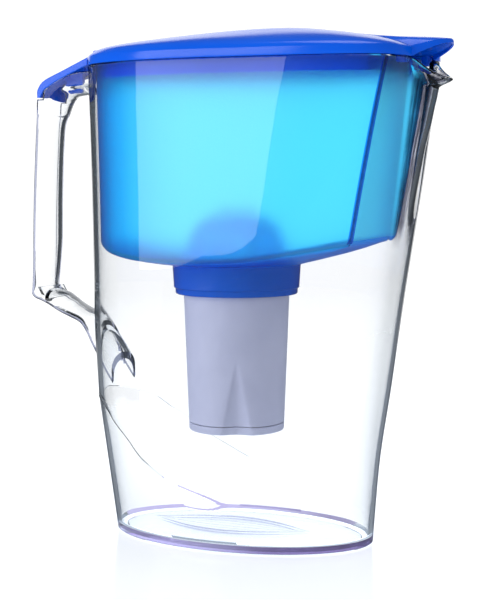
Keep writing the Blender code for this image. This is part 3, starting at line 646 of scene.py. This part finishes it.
def hopper_outline(height, inset):
    """Half outline of the hopper's wall at a height; the inset is measured from its outer face."""
    (low, low_reach), (high, high_reach) = HOPPER_FRONT
    plane = low_reach + (height - low) * (high_reach - low_reach) / (high - low)
    return squared(oval(height, WALL + HOPPER_GAP + inset, rows=HOPPER_POWER), plane - inset)


def neck_ring(outline, radius, height):
    """Half circle round the neck's axis, its columns in line with an outline's."""
    turn = np.arctan2(outline[:, 1], outline[:, 0] - NECK_CENTRE)
    turn[0] = math.pi
    turn[-1] = 0.0
    points = pinned(np.column_stack([NECK_CENTRE + radius * np.cos(turn), radius * np.sin(turn)]))
    return flat_half(points, height)


def hopper_edge_ring(inset, lift):
    """The hopper's lower edge: its height changes along the length, and so does the outline."""
    rough = hopper_outline(148.0, inset)
    heights = table(rough[:, 0], HOPPER_EDGE) + lift
    return np.array([(*hopper_outline(float(height), inset)[i], height) for i, height in enumerate(heights)])


def hopper_corner(height):
    """Where the hopper's front face meets its side at a height."""
    points = hopper_outline(height, 0.0)
    plane = points[-1, 0]
    return plane, float(points[points[:, 0] > plane - 0.01][:, 1].max())


def on_hopper_front(centre, normal):
    """Both faces of the flat front wall."""
    return abs(normal.x) > 0.95 and centre.x > FORWARD_OF and centre.z > NECK_TOP + 4


def on_hopper_edge(centre, normal):
    """The two upright front corners and the flange."""
    if centre.z > FLANGE_TOP - FLANGE_THICKNESS - 0.2:
        return True
    x = centre.x - ROW_SHIFT
    if x > FORWARD_OF and centre.z > NECK_TOP:
        plane, side = hopper_corner(centre.z)
        return x > plane - 1.6 and abs(centre.y) > side - 1.3
    return False


def hopper_bottom(edge, neck):
    """Rings between the hopper's lower edge and its neck; the bottom sags a little between them."""
    rings = []
    for share in (0.25, 0.5, 0.75):
        sag = BOTTOM_SAG * math.sin(math.pi * share)
        rings.append(edge * (1 - share) + neck * share - (0, 0, sag))
    return rings


def build_hopper(material):
    """Rings from the flange down the outside, round the neck and up the inside."""
    under_flange = FLANGE_TOP - FLANGE_THICKNESS
    flange = squared(oval(245.6, FLANGE_INSET), FLANGE_FRONT)
    rings = [flat_half(flange, FLANGE_TOP), flat_half(flange, under_flange)]
    for height in [under_flange] + list(np.arange(240.0, 156.0, -6.0)):
        rings.append(flat_half(hopper_outline(height, 0.0), height))
    rings += [hopper_edge_ring(*row) for row in ((0.0, 2.6), (0.4, 1.4), (1.2, 0.5), (2.4, 0.0))]
    under = rings[-1]
    share = NECK_RING / (NECK_TOP - NECK_BOTTOM)
    ring_radius = NECK_BOTTOM_RADIUS + (NECK_TOP_RADIUS - NECK_BOTTOM_RADIUS) * share
    ring_height = NECK_BOTTOM + NECK_RING
    neck = (
        (NECK_TOP_RADIUS, NECK_TOP), (ring_radius + 0.5, ring_height + 0.5), (ring_radius + 0.6, ring_height),
        (ring_radius - 0.3, ring_height - 0.4), (NECK_BOTTOM_RADIUS, NECK_BOTTOM + 0.5),
        (NECK_BOTTOM_RADIUS - 0.5, NECK_BOTTOM), (BORE_RADIUS, NECK_BOTTOM), (BORE_RADIUS, SEAT_HEIGHT),
        (SEAT_RADIUS, SEAT_HEIGHT), (SEAT_RADIUS, NECK_TOP + HOPPER_WALL),
    )
    neck = [neck_ring(under[:, :2], *row) for row in neck]
    inside = hopper_edge_ring(3.2, HOPPER_WALL)
    rings += hopper_bottom(under, neck[0]) + neck + hopper_bottom(inside, neck[-1])[::-1] + [inside]
    rings.append(hopper_edge_ring(2.2, HOPPER_WALL + 0.9))
    rings.append(hopper_edge_ring(HOPPER_WALL, HOPPER_WALL + 2.6))
    for height in list(np.arange(162.0, 243.0, 6.0)) + [FLANGE_TOP]:
        rings.append(flat_half(hopper_outline(height, HOPPER_WALL), height))
    hopper = make_object("hopper_shell", loft([whole(r) for r in rings], loop=True), material)
    smooth(hopper, 30.0, 0.8, 3)
    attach(hopper, "hopper_body")
    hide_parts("hopper")
    paint_region(hopper, see_through("hopper_face_painted_light")[0], on_hopper_front)
    paint_region(hopper, see_through("hopper_edge_painted_shade")[0], on_hopper_edge)
    paint_region(hopper, see_through("hopper_neck_blue")[0], lambda centre, normal: centre.z < NECK_TOP)


# ---- lid


def nub_shape(side):
    """Small guide block that hangs from the lid beside the pouring lip."""
    points, faces = prism(NUB, NUB_HALF_WIDTH)
    return [(x, y + side * NUB_PLACE, z) for x, y, z in points], faces


def bill_reach(points):
    """How far the visor carries the lid's edge forwards at each point."""
    near = off_middle(points, BILL_HALF_WIDTH)
    return np.where(points[:, 0] > RIM_CENTRE, BILL_LENGTH * np.sqrt(1 - near**2), 0.0)


def lid_height(edge, rho):
    """Height of the dome above the lid's edge along the line from the centre to each edge point."""
    angle = np.arctan2(edge[:, 1], edge[:, 0] - RIM_CENTRE)
    forward = 0.5 + 0.5 * np.cos(angle)
    bill = bill_reach(edge) / BILL_LENGTH
    front = table(rho, LID_FRONT) * (1 - bill) + table(rho, LID_BILL) * bill
    return front * forward + table(rho, LID_BACK) * (1 - forward)


def lid_ring(edge, rho, drop=0.0):
    """Half ring of the dome at a share of the way from its centre to its edge."""
    centre = np.array([RIM_CENTRE, 0.0])
    reach = edge + np.column_stack([bill_reach(edge), np.zeros(len(edge))])
    return np.column_stack([centre + (reach - centre) * rho, LID_EDGE + lid_height(edge, rho) - drop])


def lid_skirt(columns, inset, height, bill_height):
    """Ring of the skirt; under the visor it arches up with the visor's edge."""
    points = resample(oval(RIM_LINE, inset), columns)
    reach = bill_reach(points)
    points[:, 0] += reach
    return np.column_stack([points, height + (bill_height - height) * reach / BILL_LENGTH])


def plug_ring(columns, inset, height):
    """Half ring of the wall under the lid that stands inside the hopper."""
    points = resample(oval(RIM_LINE, PLUG_INSET + inset, rows=HOPPER_POWER), columns)
    return flat_half(cut_front(points, PLUG_FRONT - inset), height)


def build_lid(material):
    """Rings from the dome's top out to its edge, round the skirt, down and up the plug wall and back under."""
    columns = column_fractions(LID_COLUMNS)
    edge = resample(oval(RIM_LINE, 0.3), columns)
    rhos = list(np.linspace(0.04, 0.9, 30)) + [0.92, 0.94, 0.955, 0.97, 0.98, 0.99, 1.0]
    rings = [lid_ring(edge, rho) for rho in rhos]
    skirt = (
        (0.0, LID_EDGE - 0.2, BILL_SIDE), (0.0, SKIRT_BOTTOM, BILL_UNDER),
        (SKIRT_THICKNESS, SKIRT_BOTTOM, BILL_UNDER), (SKIRT_THICKNESS + 0.2, LID_UNDER, BILL_UNDER + 0.1),
    )
    rings += [lid_skirt(columns, *row) for row in skirt]
    plug = ((0.0, LID_UNDER), (0.0, PLUG_BOTTOM), (PLUG_WALL, PLUG_BOTTOM), (PLUG_WALL, LID_UNDER + 0.6))
    rings += [plug_ring(columns, *row) for row in plug]
    rings += [lid_ring(edge, rho, LID_THICKNESS) for rho in np.linspace(0.7, 0.04, 14)]
    top = (RIM_CENTRE, 0.0, LID_EDGE + LID_PEAK)
    under = (RIM_CENTRE, 0.0, LID_EDGE + LID_PEAK - LID_THICKNESS)
    lid = make_object("lid_shell", loft([whole(r) for r in rings], top, under), material)
    combine(lid, make_object("tab_part", prism(THUMB_TAB, THUMB_HALF_WIDTH)), "UNION")
    for side in (-1, 1):
        combine(lid, make_object("nub_part", nub_shape(side)), "UNION")
    smooth(lid, 35.0, 0.3)
    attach(lid, "lid_body")
    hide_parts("lid")


def build_cover(material):
    """Blue cover on the handle's top, cut back to a narrow gap from the lid."""
    shape = channel(refine(COVER_PATH, 8), COVER_HALF_WIDTH, COVER_WALL + 0.4, COVER_WALL, COVER_ARCH)
    cover = make_object("cover_shell", shape, material)
    combine(cover, make_object("rib_part", prism(COVER_RIB, COVER_RIB_HALF_WIDTH)), "UNION")
    outline = resample(oval(RIM_LINE, -COVER_GAP), np.linspace(0, 1, 161))
    rings = [whole(flat_half(outline, height)) for height in COVER_CUT]
    combine(cover, make_object("end_part", loft(rings, "flat", "flat")), "DIFFERENCE")
    smooth(cover, 35.0, 0.2)
    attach(cover, "jug_body")
    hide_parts("handle_cover")


# ---- cartridge


def cart_turns():
    """Angles of the cartridge's columns, the first on a flute."""
    return np.arange(CART_COLUMNS) * 2 * math.pi / CART_COLUMNS + math.radians(FLUTE_TURN)


def round_ring(radius, height):
    """Ring round the cartridge's axis; the radius may differ from column to column."""
    turn = cart_turns()
    xs = NECK_CENTRE + radius * np.cos(turn)
    return np.column_stack([xs, radius * np.sin(turn), np.full(CART_COLUMNS, float(height))])


def cart_ring(height, inset):
    """Ring of the cartridge's fluted shell at a height."""
    radius = np.full(CART_COLUMNS, CART_BOTTOM_RADIUS + CART_DRAFT * (height - CART_BOTTOM))
    drop = np.clip((FLUTE_TOP - height) / (FLUTE_TOP - CART_BOTTOM), 0, 1)
    if drop > 0:
        pitch = 2 * math.pi / FLUTES
        away = np.abs((cart_turns() - math.radians(FLUTE_TURN) + pitch / 2) % pitch - pitch / 2)
        span = FLUTE_HALF_WIDTH * (0.02 + 0.98 * drop) / CART_BOTTOM_RADIUS
        share = np.clip(away / span, 0, 1)
        wide = 0.5 + 0.5 * np.cos(math.pi * share)
        narrow = np.clip(1 - share / 0.62, 0, 1)
        radius -= FLUTE_DEPTH * drop * (0.45 * wide + 0.55 * narrow * (2 - narrow))
    return round_ring(radius - inset, height)


def build_cartridge(material):
    """The shell, open at both ends, and the cap with radial slots that closes it below."""
    low = CART_SEAM + PIECE_GAP / 2
    rings = [cart_ring(low, 0.25), cart_ring(low + 0.25, 0.0)]
    rings += [cart_ring(height, 0.0) for height in np.arange(low + 1.0, CART_FLANGE_UNDER - 1.0, 1.0)]
    rings.append(cart_ring(CART_FLANGE_UNDER, 0.0))
    rings += [round_ring(CART_FLANGE_RADIUS, height) for height in (CART_FLANGE_UNDER, CART_TOP)]
    rings.append(cart_ring(CART_TOP, CART_WALL))
    rings += [cart_ring(height, CART_WALL) for height in np.arange(CART_FLANGE_UNDER, low, -6.0)]
    rings.append(cart_ring(low, CART_WALL))
    body = make_object("cartridge_shell", loft(rings, loop=True), material)
    smooth(body, 40.0)
    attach(body, "cartridge")
    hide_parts("cartridge_body")
    high = CART_SEAM - PIECE_GAP / 2
    rings = [cart_ring(CART_BOTTOM + lift, inset) for lift, inset in ((0.0, 1.2), (0.3, 0.4), (0.9, 0.0))]
    rings += [cart_ring(high - 0.25, 0.0), cart_ring(high, 0.25), cart_ring(high, CART_WALL)]
    rings.append(cart_ring(CART_BOTTOM + 1.6, CART_WALL))
    base = make_object("cartridge_cap", loft(rings, "flat", "flat"), material)
    combine(base, make_object("slot_part", slot_prisms(CART_BOTTOM - 2, CART_BOTTOM + 2.5)), "DIFFERENCE")
    smooth(base, 40.0)
    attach(base, "cartridge")
    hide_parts("cartridge_base")


def slot_prisms(low, high):
    """Radial slots round the cartridge's axis, as one cutter."""
    points = []
    faces = []
    inner, outer = SLOT_REACH
    for k in range(SLOTS):
        turn = 2 * math.pi * (k + 0.5) / SLOTS
        out = np.array([math.cos(turn), math.sin(turn)])
        side = np.array([-out[1], out[0]]) * SLOT_HALF_WIDTH
        corners = [out * inner - side, out * outer - side, out * outer + side, out * inner + side]
        box = loft([[(x + NECK_CENTRE, y, z) for x, y in corners] for z in (low, high)], "flat", "flat")
        faces += [tuple(len(points) + i for i in face) for face in box[1]]
        points += box[0]
    return points, faces


# ---- materials

# Colour stops are (place, red, green, blue), from face-on (0) to edge-on (1), and grain is (scale, strength,
# distance, detail) of the fine bump.
CLEAR_GRAIN = (22, 0.06, 0.002, 1)
BLUE_GRAIN = (900, 0.18, 0.0004, 3)
MUTED = {"IOR": 1.3, "Specular IOR Level": 0.15}
# Painted light: the jug's floor glows a little.
JUG_FLOOR_GLOW_SETTINGS = {"IOR": 1.12, "Emission Color": (0.85, 0.92, 1, 1), "Emission Strength": 0.16}

# See-through plastics: stops, tint of the light that is let through, grain, roughness and other settings.
PLASTICS = {
    # Painted shade: edge-on, the clear plastic is painted dark slate, and violet at its very rim.
    "jug_clear": (
        (
            (0, 0.985, 0.992, 1), (0.7, 0.96, 0.98, 1), (0.79, 0.8, 0.84, 0.92), (0.82, 0.03, 0.05, 0.09),
            (0.88, 0.05, 0.06, 0.12), (0.93, 0.5, 0.5, 0.68), (1, 0.7, 0.68, 0.9),
        ),
        (0.96, 0.98, 1), CLEAR_GRAIN, 0, {},
    ),
    # Painted shade on the handle's thinner clear walls: edge-on they are painted darker, paler than the jug's.
    "jug_handle_clear": (
        (
            (0, 0.985, 0.992, 1), (0.78, 0.96, 0.98, 1), (0.88, 0.55, 0.6, 0.7), (0.95, 0.25, 0.27, 0.36),
            (1, 0.6, 0.6, 0.75),
        ),
        (0.96, 0.98, 1), CLEAR_GRAIN, 0, {"IOR": 1.4},
    ),
    # Painted shade: clear plastic seen along its thickness, on the leg tips and cut ends, painted dark slate.
    "jug_edge_painted_shade": (
        ((0, 0.2, 0.22, 0.36), (0.5, 0.1, 0.12, 0.22), (1, 0.03, 0.04, 0.1)),
        (0.8, 0.85, 1), (80, 0.2, 0.002, 2), 0.05, {},
    ),
    # The jug's floor: a faint glow, painted light, and a slightly darker colour edge-on, painted shade.
    "jug_floor_clear": (
        ((0, 0.98, 0.99, 1), (0.7, 0.96, 0.98, 1), (1, 0.93, 0.96, 1)),
        (0.96, 0.98, 1), (60, 0.08, 0.002, 2), 0.03, {**MUTED, **JUG_FLOOR_GLOW_SETTINGS},
    ),
    # Painted shade: the foot's rim painted violet.
    "jug_foot_painted_shade": (
        ((0, 0.2, 0.14, 0.42), (0.45, 0.32, 0.25, 0.6), (0.8, 0.7, 0.66, 1), (1, 0.7, 0.7, 1)),
        (0.9, 0.9, 1), (50, 0.3, 0.002, 2), 0.02, MUTED,
    ),
    # The blue darkens towards edge-on: partly the plastic's own deeper blue along a longer path, partly painted
    # shade.
    "hopper_blue": (
        (
            (0, 0.3, 0.87, 1), (0.15, 0.24, 0.8, 1), (0.28, 0.09, 0.66, 1), (0.42, 0.02, 0.55, 1),
            (0.6, 0, 0.5, 1), (0.8, 0, 0.25, 0.95), (1, 0, 0.05, 0.6),
        ),
        (0.3, 0.75, 1), BLUE_GRAIN, 0.34, MUTED,
    ),
    # Painted light: the hopper's flat front, a lighter copy of the hopper's blue, one even wall of light blue.
    "hopper_face_painted_light": (
        ((0, 0.42, 0.93, 1), (0.7, 0.4, 0.92, 1), (0.85, 0.1, 0.5, 1), (1, 0.02, 0.1, 0.6)),
        (0.4, 0.85, 1), BLUE_GRAIN, 0.34, MUTED,
    ),
    # Painted shade: the hopper's front corners and its flange, painted deep navy.
    "hopper_edge_painted_shade": (
        ((0, 0, 0.12, 0.75), (0.5, 0, 0.05, 0.6), (1, 0, 0.02, 0.4)),
        (0.1, 0.4, 1), (900, 0.1, 0.0004, 3), 0.2, MUTED,
    ),
    "hopper_neck_blue": (
        ((0, 0, 0.13, 0.7), (0.5, 0, 0.11, 0.66), (0.85, 0, 0.06, 0.45), (1, 0, 0.02, 0.3)),
        (0.15, 0.5, 1), (900, 0.12, 0.0004, 3), 0.25, {**MUTED, "Transmission Weight": 0.3},
    ),
    # Milky cap of the cartridge, lit through from behind.
    "cartridge_head_milky": (
        ((0, 0.8, 0.88, 1), (1, 0.65, 0.75, 1)),
        (0.8, 0.85, 1), (700, 0.12, 0.0004, 2), 0.6, {**MUTED, "IOR": 1.2, "Transmission Weight": 0.7},
    ),
}

# Painted shade: grey streaks beside the spout.
FOLD_SHADE_STREAKS = ((0.3, 0.03, 0.03, 0.05), (0.55, 0.2, 0.2, 0.25), (0.7, 0.6, 0.62, 0.7))
FOLD_SHADE_SCALE = 900
FOLD_SHADE_STRETCH = (0, 1, 0.06)
# Painted shade along the leaf relief's outline and midribs.
LEAF_LINE_SHADES = ((0, 0.9, 0.93, 1), (1, 0.2, 0.2, 0.36))
# Painted shade on the foot's rim, darker towards the spout.
FOOT_PAINTED_SHADES = ((0, 0.3, 0.26, 0.6), (1, 0.05, 0.03, 0.12))
LID_SHADES = ((0.3, 0, 0.105, 0.82), (0.7, 0, 0.13, 0.92))
CARTRIDGE_SHADES = ((0.3, 0.47, 0.49, 0.67), (0.7, 0.51, 0.53, 0.71))


def connect(tree, node, inputs):
    """Set a node's inputs, by name or number, to values, or feed them from sockets or nodes' first outputs."""
    for key, value in inputs.items():
        if isinstance(value, bpy.types.Node):
            value = value.outputs[0]
        if isinstance(value, bpy.types.NodeSocket):
            tree.links.new(value, node.inputs[key])
        else:
            node.inputs[key].default_value = value


def add(tree, kind, inputs=None, **settings):
    """New shader node."""
    node = tree.nodes.new("ShaderNode" + kind)
    for key, value in settings.items():
        setattr(node, key, value)
    connect(tree, node, inputs or {})
    return node


def compute(tree, operation, *values):
    """Math node on sockets, nodes and numbers."""
    return add(tree, "Math", dict(enumerate(values)), operation=operation)


def mix_shaders(tree, share, first, second):
    return add(tree, "MixShader", {0: share, 1: first, 2: second})


def own_place(tree):
    """The object's own coordinates, which are the frame's."""
    return add(tree, "TexCoord").outputs["Object"]


def coordinates(tree):
    """The object's own coordinates one by one."""
    return add(tree, "SeparateXYZ", {"Vector": own_place(tree)}).outputs


def noise(tree, scale, detail=2.0, place=None):
    return add(tree, "TexNoise", {"Vector": place or own_place(tree), "Scale": scale, "Detail": detail})


def ramp(tree, source, stops):
    """Colour ramp fed by a socket."""
    node = add(tree, "ValToRGB", {"Fac": source})
    elements = node.color_ramp.elements
    while len(elements) < len(stops):
        elements.new(0.5)
    for element, (place, *colour) in zip(elements, stops):
        element.position = place
        element.color = (*colour, 1.0)
    return node


def band(tree, value, low, high, soft):
    """One between two values of a coordinate, fading to zero outside them."""
    sides = []
    for zero, one in ((low - soft, low), (high + soft, high)):
        inputs = {"Value": value, "From Min": zero, "From Max": one}
        sides.append(add(tree, "MapRange", inputs, interpolation_type="SMOOTHSTEP"))
    return compute(tree, "MULTIPLY", *sides)


def overlay(tree, shader, mask, colour):
    """Lay a second colour over the shader's base colour where the mask is one."""
    base = shader.inputs["Base Color"].links[0].from_socket
    blend = add(tree, "Mix", {"Factor": mask, 6: base, 7: colour}, data_type="RGBA")
    connect(tree, shader, {"Base Color": blend.outputs[2]})


def fine_bump(tree, shader, scale, strength, distance, detail=2.0):
    """Fine unevenness of a moulded surface; returns its noise."""
    height = noise(tree, scale, detail)
    bump = add(tree, "Bump", {"Strength": strength, "Distance": distance, "Height": height})
    connect(tree, shader, {"Normal": bump})
    return height


def new_material(name):
    material = bpy.data.materials.new(name)
    material.use_nodes = True
    tree = material.node_tree
    return material, tree, tree.nodes["Principled BSDF"]


def set_surface(tree, shader, output="Material Output"):
    connect(tree, tree.nodes[output], {"Surface": shader})


def see_through(name):
    """Moulded see-through plastic whose colour is painted darker edge-on, as painted shade: (material, tree,
    shader).
    """
    stops, tint, grain, roughness, others = PLASTICS[name]
    material, tree, shader = new_material(name)
    # Painted shade: the ramp darkens the colour from face-on towards edge-on.
    facing = add(tree, "LayerWeight", {"Blend": 0.5}).outputs["Facing"]
    colour = ramp(tree, facing, stops)
    settings = {"Base Color": colour, "Roughness": roughness, "IOR": 1.5, "Transmission Weight": 1.0, **others}
    connect(tree, shader, settings)
    fine_bump(tree, shader, *grain)
    # Shadow rays pass, so that what stands behind the wall is lit.
    clear = add(tree, "BsdfTransparent", {"Color": (*tint, 1.0)})
    shadow = add(tree, "LightPath").outputs["Is Shadow Ray"]
    set_surface(tree, mix_shaders(tree, shadow, shader, clear))
    return material, tree, shader


def opaque_plastic(name, patches, shades, settings, *grain):
    """Opaque plastic whose colour drifts slightly between two shades."""
    material, tree, shader = new_material(name)
    connect(tree, shader, {"Base Color": ramp(tree, noise(tree, patches), shades), **settings})
    fine_bump(tree, shader, *grain)
    return material


def simple_material(name, colour, roughness, scale, strength):
    """Small inner pieces: a colour with some variation and a grain."""
    material, tree, shader = new_material(name)
    grain = fine_bump(tree, shader, scale, strength, 0.001, 4.0)
    stops = ((0.35, *(c * 0.8 for c in colour)), (0.65, *colour))
    connect(tree, shader, {"Base Color": ramp(tree, grain, stops), "Roughness": roughness})
    return material


def clear_plastic():
    """Clear plastic, with painted shade: grey streaks painted where its tight folds lie on both sides of the spout.
    """
    material, tree, shader = see_through("jug_clear")
    parts = coordinates(tree)
    mask = band(tree, compute(tree, "ABSOLUTE", parts["Y"]), *FOLD_ACROSS)
    for axis, span in (("Z", FOLD_HEIGHT), ("X", FOLD_REACH)):
        mask = compute(tree, "MULTIPLY", mask, band(tree, parts[axis], *span))
    stretched = add(tree, "VectorMath", {0: own_place(tree), 1: FOLD_SHADE_STRETCH}, operation="MULTIPLY")
    overlay(tree, shader, mask, ramp(tree, noise(tree, FOLD_SHADE_SCALE, 2.0, stretched), FOLD_SHADE_STREAKS))
    return material


def leaf_shade_lines(tree):
    """One on the outline and the midribs of the leaf in the floor, where painted shade goes."""
    parts = coordinates(tree)
    along = compute(tree, "SUBTRACT", parts["X"], (LEAF_CENTRE[0] + ROW_SHIFT) * MM)
    aside = compute(tree, "SUBTRACT", parts["Y"], LEAF_CENTRE[1] * MM)
    u = compute(tree, "DIVIDE", along, LEAF_HALF_LENGTH * MM)
    v = compute(tree, "DIVIDE", aside, LEAF_HALF_WIDTH * MM)
    room = compute(tree, "MAXIMUM", compute(tree, "SUBTRACT", 1.0, compute(tree, "MULTIPLY", u, u)), 0.0)
    half = compute(tree, "MAXIMUM", compute(tree, "POWER", room, LEAF_POINT), 0.02)
    across = compute(tree, "DIVIDE", compute(tree, "ABSOLUTE", v), half)
    outline = band(tree, across, 0.9, 1.0, 0.16)
    ribs = compute(tree, "MULTIPLY", band(tree, across, 0.3, 0.34, 0.12), 0.7)
    within = band(tree, compute(tree, "ABSOLUTE", u), -1.0, 0.96, 0.03)
    return compute(tree, "MULTIPLY", compute(tree, "ADD", outline, ribs), within)


def floor_plastic():
    """The jug's floor, with painted shade: the leaf's edges are painted a shade darker."""
    material, tree, shader = see_through("jug_floor_clear")
    lines = leaf_shade_lines(tree)
    overlay(tree, shader, lines, ramp(tree, lines, LEAF_LINE_SHADES))
    return material


def foot_plastic():
    """The foot's rim, with painted shade: painted violet, and darker towards the spout."""
    material, tree, shader = see_through("jug_foot_painted_shade")
    mask = band(tree, coordinates(tree)["X"], *FOOT_SHADE_SPAN)
    overlay(tree, shader, mask, ramp(tree, mask, FOOT_PAINTED_SHADES))
    return material


def paint_region(item, material, wanted):
    """Give the faces that a test picks a second material."""
    mesh = item.data
    mesh.materials.append(material)
    slot = len(mesh.materials) - 1
    for polygon in mesh.polygons:
        if wanted(polygon.center / MM, polygon.normal):
            polygon.material_index = slot


def repaint(node, material):
    """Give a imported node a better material."""
    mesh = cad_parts[node].data
    mesh.materials.clear()
    mesh.materials.append(material)


# ---- stage


def build_floor():
    """Pale studio floor that fades into the white surroundings; mirrored, it looks dim."""
    mesh = bpy.data.meshes.new("studio_floor")
    work = bmesh.new()
    bmesh.ops.create_circle(work, cap_ends=True, radius=FLOOR_RADIUS, segments=96)
    work.to_mesh(mesh)
    work.free()
    material, tree, shader = new_material("floor_white")
    settings = {
        "Base Color": (0.93, 0.95, 0.97, 1.0),
        "Roughness": 0.15,
        "Specular IOR Level": 0.4,
        "Emission Color": (0.95, 0.98, 1.0, 1.0),
        "Emission Strength": FLOOR_GLOW,
    }
    connect(tree, shader, settings)
    spread = add(tree, "VectorMath", {0: own_place(tree)}, operation="LENGTH").outputs["Value"]
    fade = add(tree, "MapRange", {"Value": spread, "From Min": FLOOR_FADE, "From Max": FLOOR_RADIUS * 0.95})
    mirrored = compute(tree, "MINIMUM", add(tree, "LightPath").outputs["Glossy Depth"], 1.0)
    dim = add(tree, "BsdfDiffuse", {"Color": (0.55, 0.6, 0.66, 1.0)})
    seen = mix_shaders(tree, mirrored, shader, dim)
    set_surface(tree, mix_shaders(tree, fade, seen, add(tree, "BsdfTransparent")))
    mesh.materials.append(material)
    place_object("studio_floor", mesh)


def build_world():
    """White surroundings; whatever has been mirrored on the way sees a dimmer room."""
    world = bpy.data.worlds.new("studio_white")
    world.use_nodes = True
    tree = world.node_tree
    room = tree.nodes["Background"]
    connect(tree, room, {"Color": (0.93, 0.96, 1.0, 1.0), "Strength": ROOM_LIGHT})
    dim = add(tree, "Background", {"Color": (0.8, 0.9, 1.0, 1.0), "Strength": ROOM_REFLECTION})
    white = add(tree, "Background", {"Color": (1.0, 1.0, 1.0, 1.0), "Strength": BACKGROUND_WHITE})
    path = add(tree, "LightPath").outputs
    mirrored = compute(tree, "MINIMUM", path["Glossy Depth"], 1.0)
    lit = mix_shaders(tree, mirrored, room, dim)
    seen = compute(tree, "MAXIMUM", path["Is Camera Ray"], path["Is Transmission Ray"])
    straight = compute(tree, "MULTIPLY", seen, compute(tree, "LESS_THAN", path["Glossy Depth"], 0.5))
    set_surface(tree, mix_shaders(tree, straight, lit, white), "World Output")
    bpy.context.scene.world = world
    world.cycles.sampling_method = "NONE"


def add_softbox(name, place, target, width, height, radiance):
    """Soft light that faces a point and isn't seen itself, except in reflections."""
    data = bpy.data.lights.new(name, "AREA")
    data.shape = "RECTANGLE"
    data.size = width
    data.size_y = height
    data.energy = radiance * math.pi * width * height
    item = place_object(name, data)
    item.location = place
    item.rotation_euler = (Vector(target) - Vector(place)).to_track_quat("-Z", "Y").to_euler()
    item.visible_camera = False
    item.visible_transmission = False


def around(azimuth, distance, height):
    """Place round the object at an azimuth in degrees, as the camera's is given."""
    turn = math.radians(azimuth)
    return (math.sin(turn) * distance, -math.cos(turn) * distance, height)


def build_lights():
    add_softbox("softbox_left", around(SOFTBOX_AZIMUTH, 1.5, 0.5), (0, 0, 0.4), 1.18, 1.04, 2.4)
    add_softbox("softbox_top", (0.15, 0.1, 1.6), (0, 0, 0.2), 1.3, 0.9, 2.0)
    add_softbox("backdrop_glow", around(CAMERA_AZIMUTH + 180.0, 2.2, 0.5), (0, 0, 0.2), 2.4, 1.6, 1.1)


def build_camera():
    data = bpy.data.cameras.new("camera")
    data.lens = CAMERA_LENS
    data.sensor_width = 36.0
    item = place_object("camera", data)
    x, y, z = around(CAMERA_AZIMUTH, CAMERA_DISTANCE, CAMERA_HEIGHT)
    item.location = (x + CAMERA_SIDE + ROW_SHIFT * MM, y, z)
    item.rotation_euler = (math.radians(90 - CAMERA_PITCH), 0.0, math.radians(CAMERA_AZIMUTH))
    bpy.context.scene.camera = item


def main():
    scene = bpy.context.scene
    scene.view_settings.view_transform = "Standard"
    scene.cycles.max_bounces = BOUNCES
    scene.cycles.transmission_bounces = BOUNCES
    scene.cycles.transparent_max_bounces = BOUNCES
    build_camera()
    build_lights()
    build_world()
    build_floor()
    build_jug(clear_plastic())
    blue = opaque_plastic("lid_blue", 14.0, LID_SHADES, {"Roughness": 0.18, "IOR": 1.48}, 500.0, 0.05, 0.0003)
    build_cover(blue)
    build_lid(blue)
    build_hopper(see_through("hopper_blue")[0])
    grey = opaque_plastic("cartridge_grey", 60.0, CARTRIDGE_SHADES, {"Roughness": 0.42}, 700.0, 0.12, 0.0004)
    build_cartridge(grey)
    repaint("cartridge_head", see_through("cartridge_head_milky")[0])
    repaint("seal_ring", simple_material("seal_silicone", (0.85, 0.87, 0.9), 0.5, 300.0, 0.1))
    cloth = simple_material("screen_cloth", (0.9, 0.9, 0.92), 0.8, 900.0, 0.5)
    repaint("upper_screen", cloth)
    repaint("lower_screen", cloth)
    repaint("carbon_bed", simple_material("carbon_grains", (0.03, 0.03, 0.03), 0.85, 700.0, 1.0))
    repaint("resin_bed", simple_material("resin_beads", (0.72, 0.55, 0.3), 0.6, 900.0, 1.0))


main()
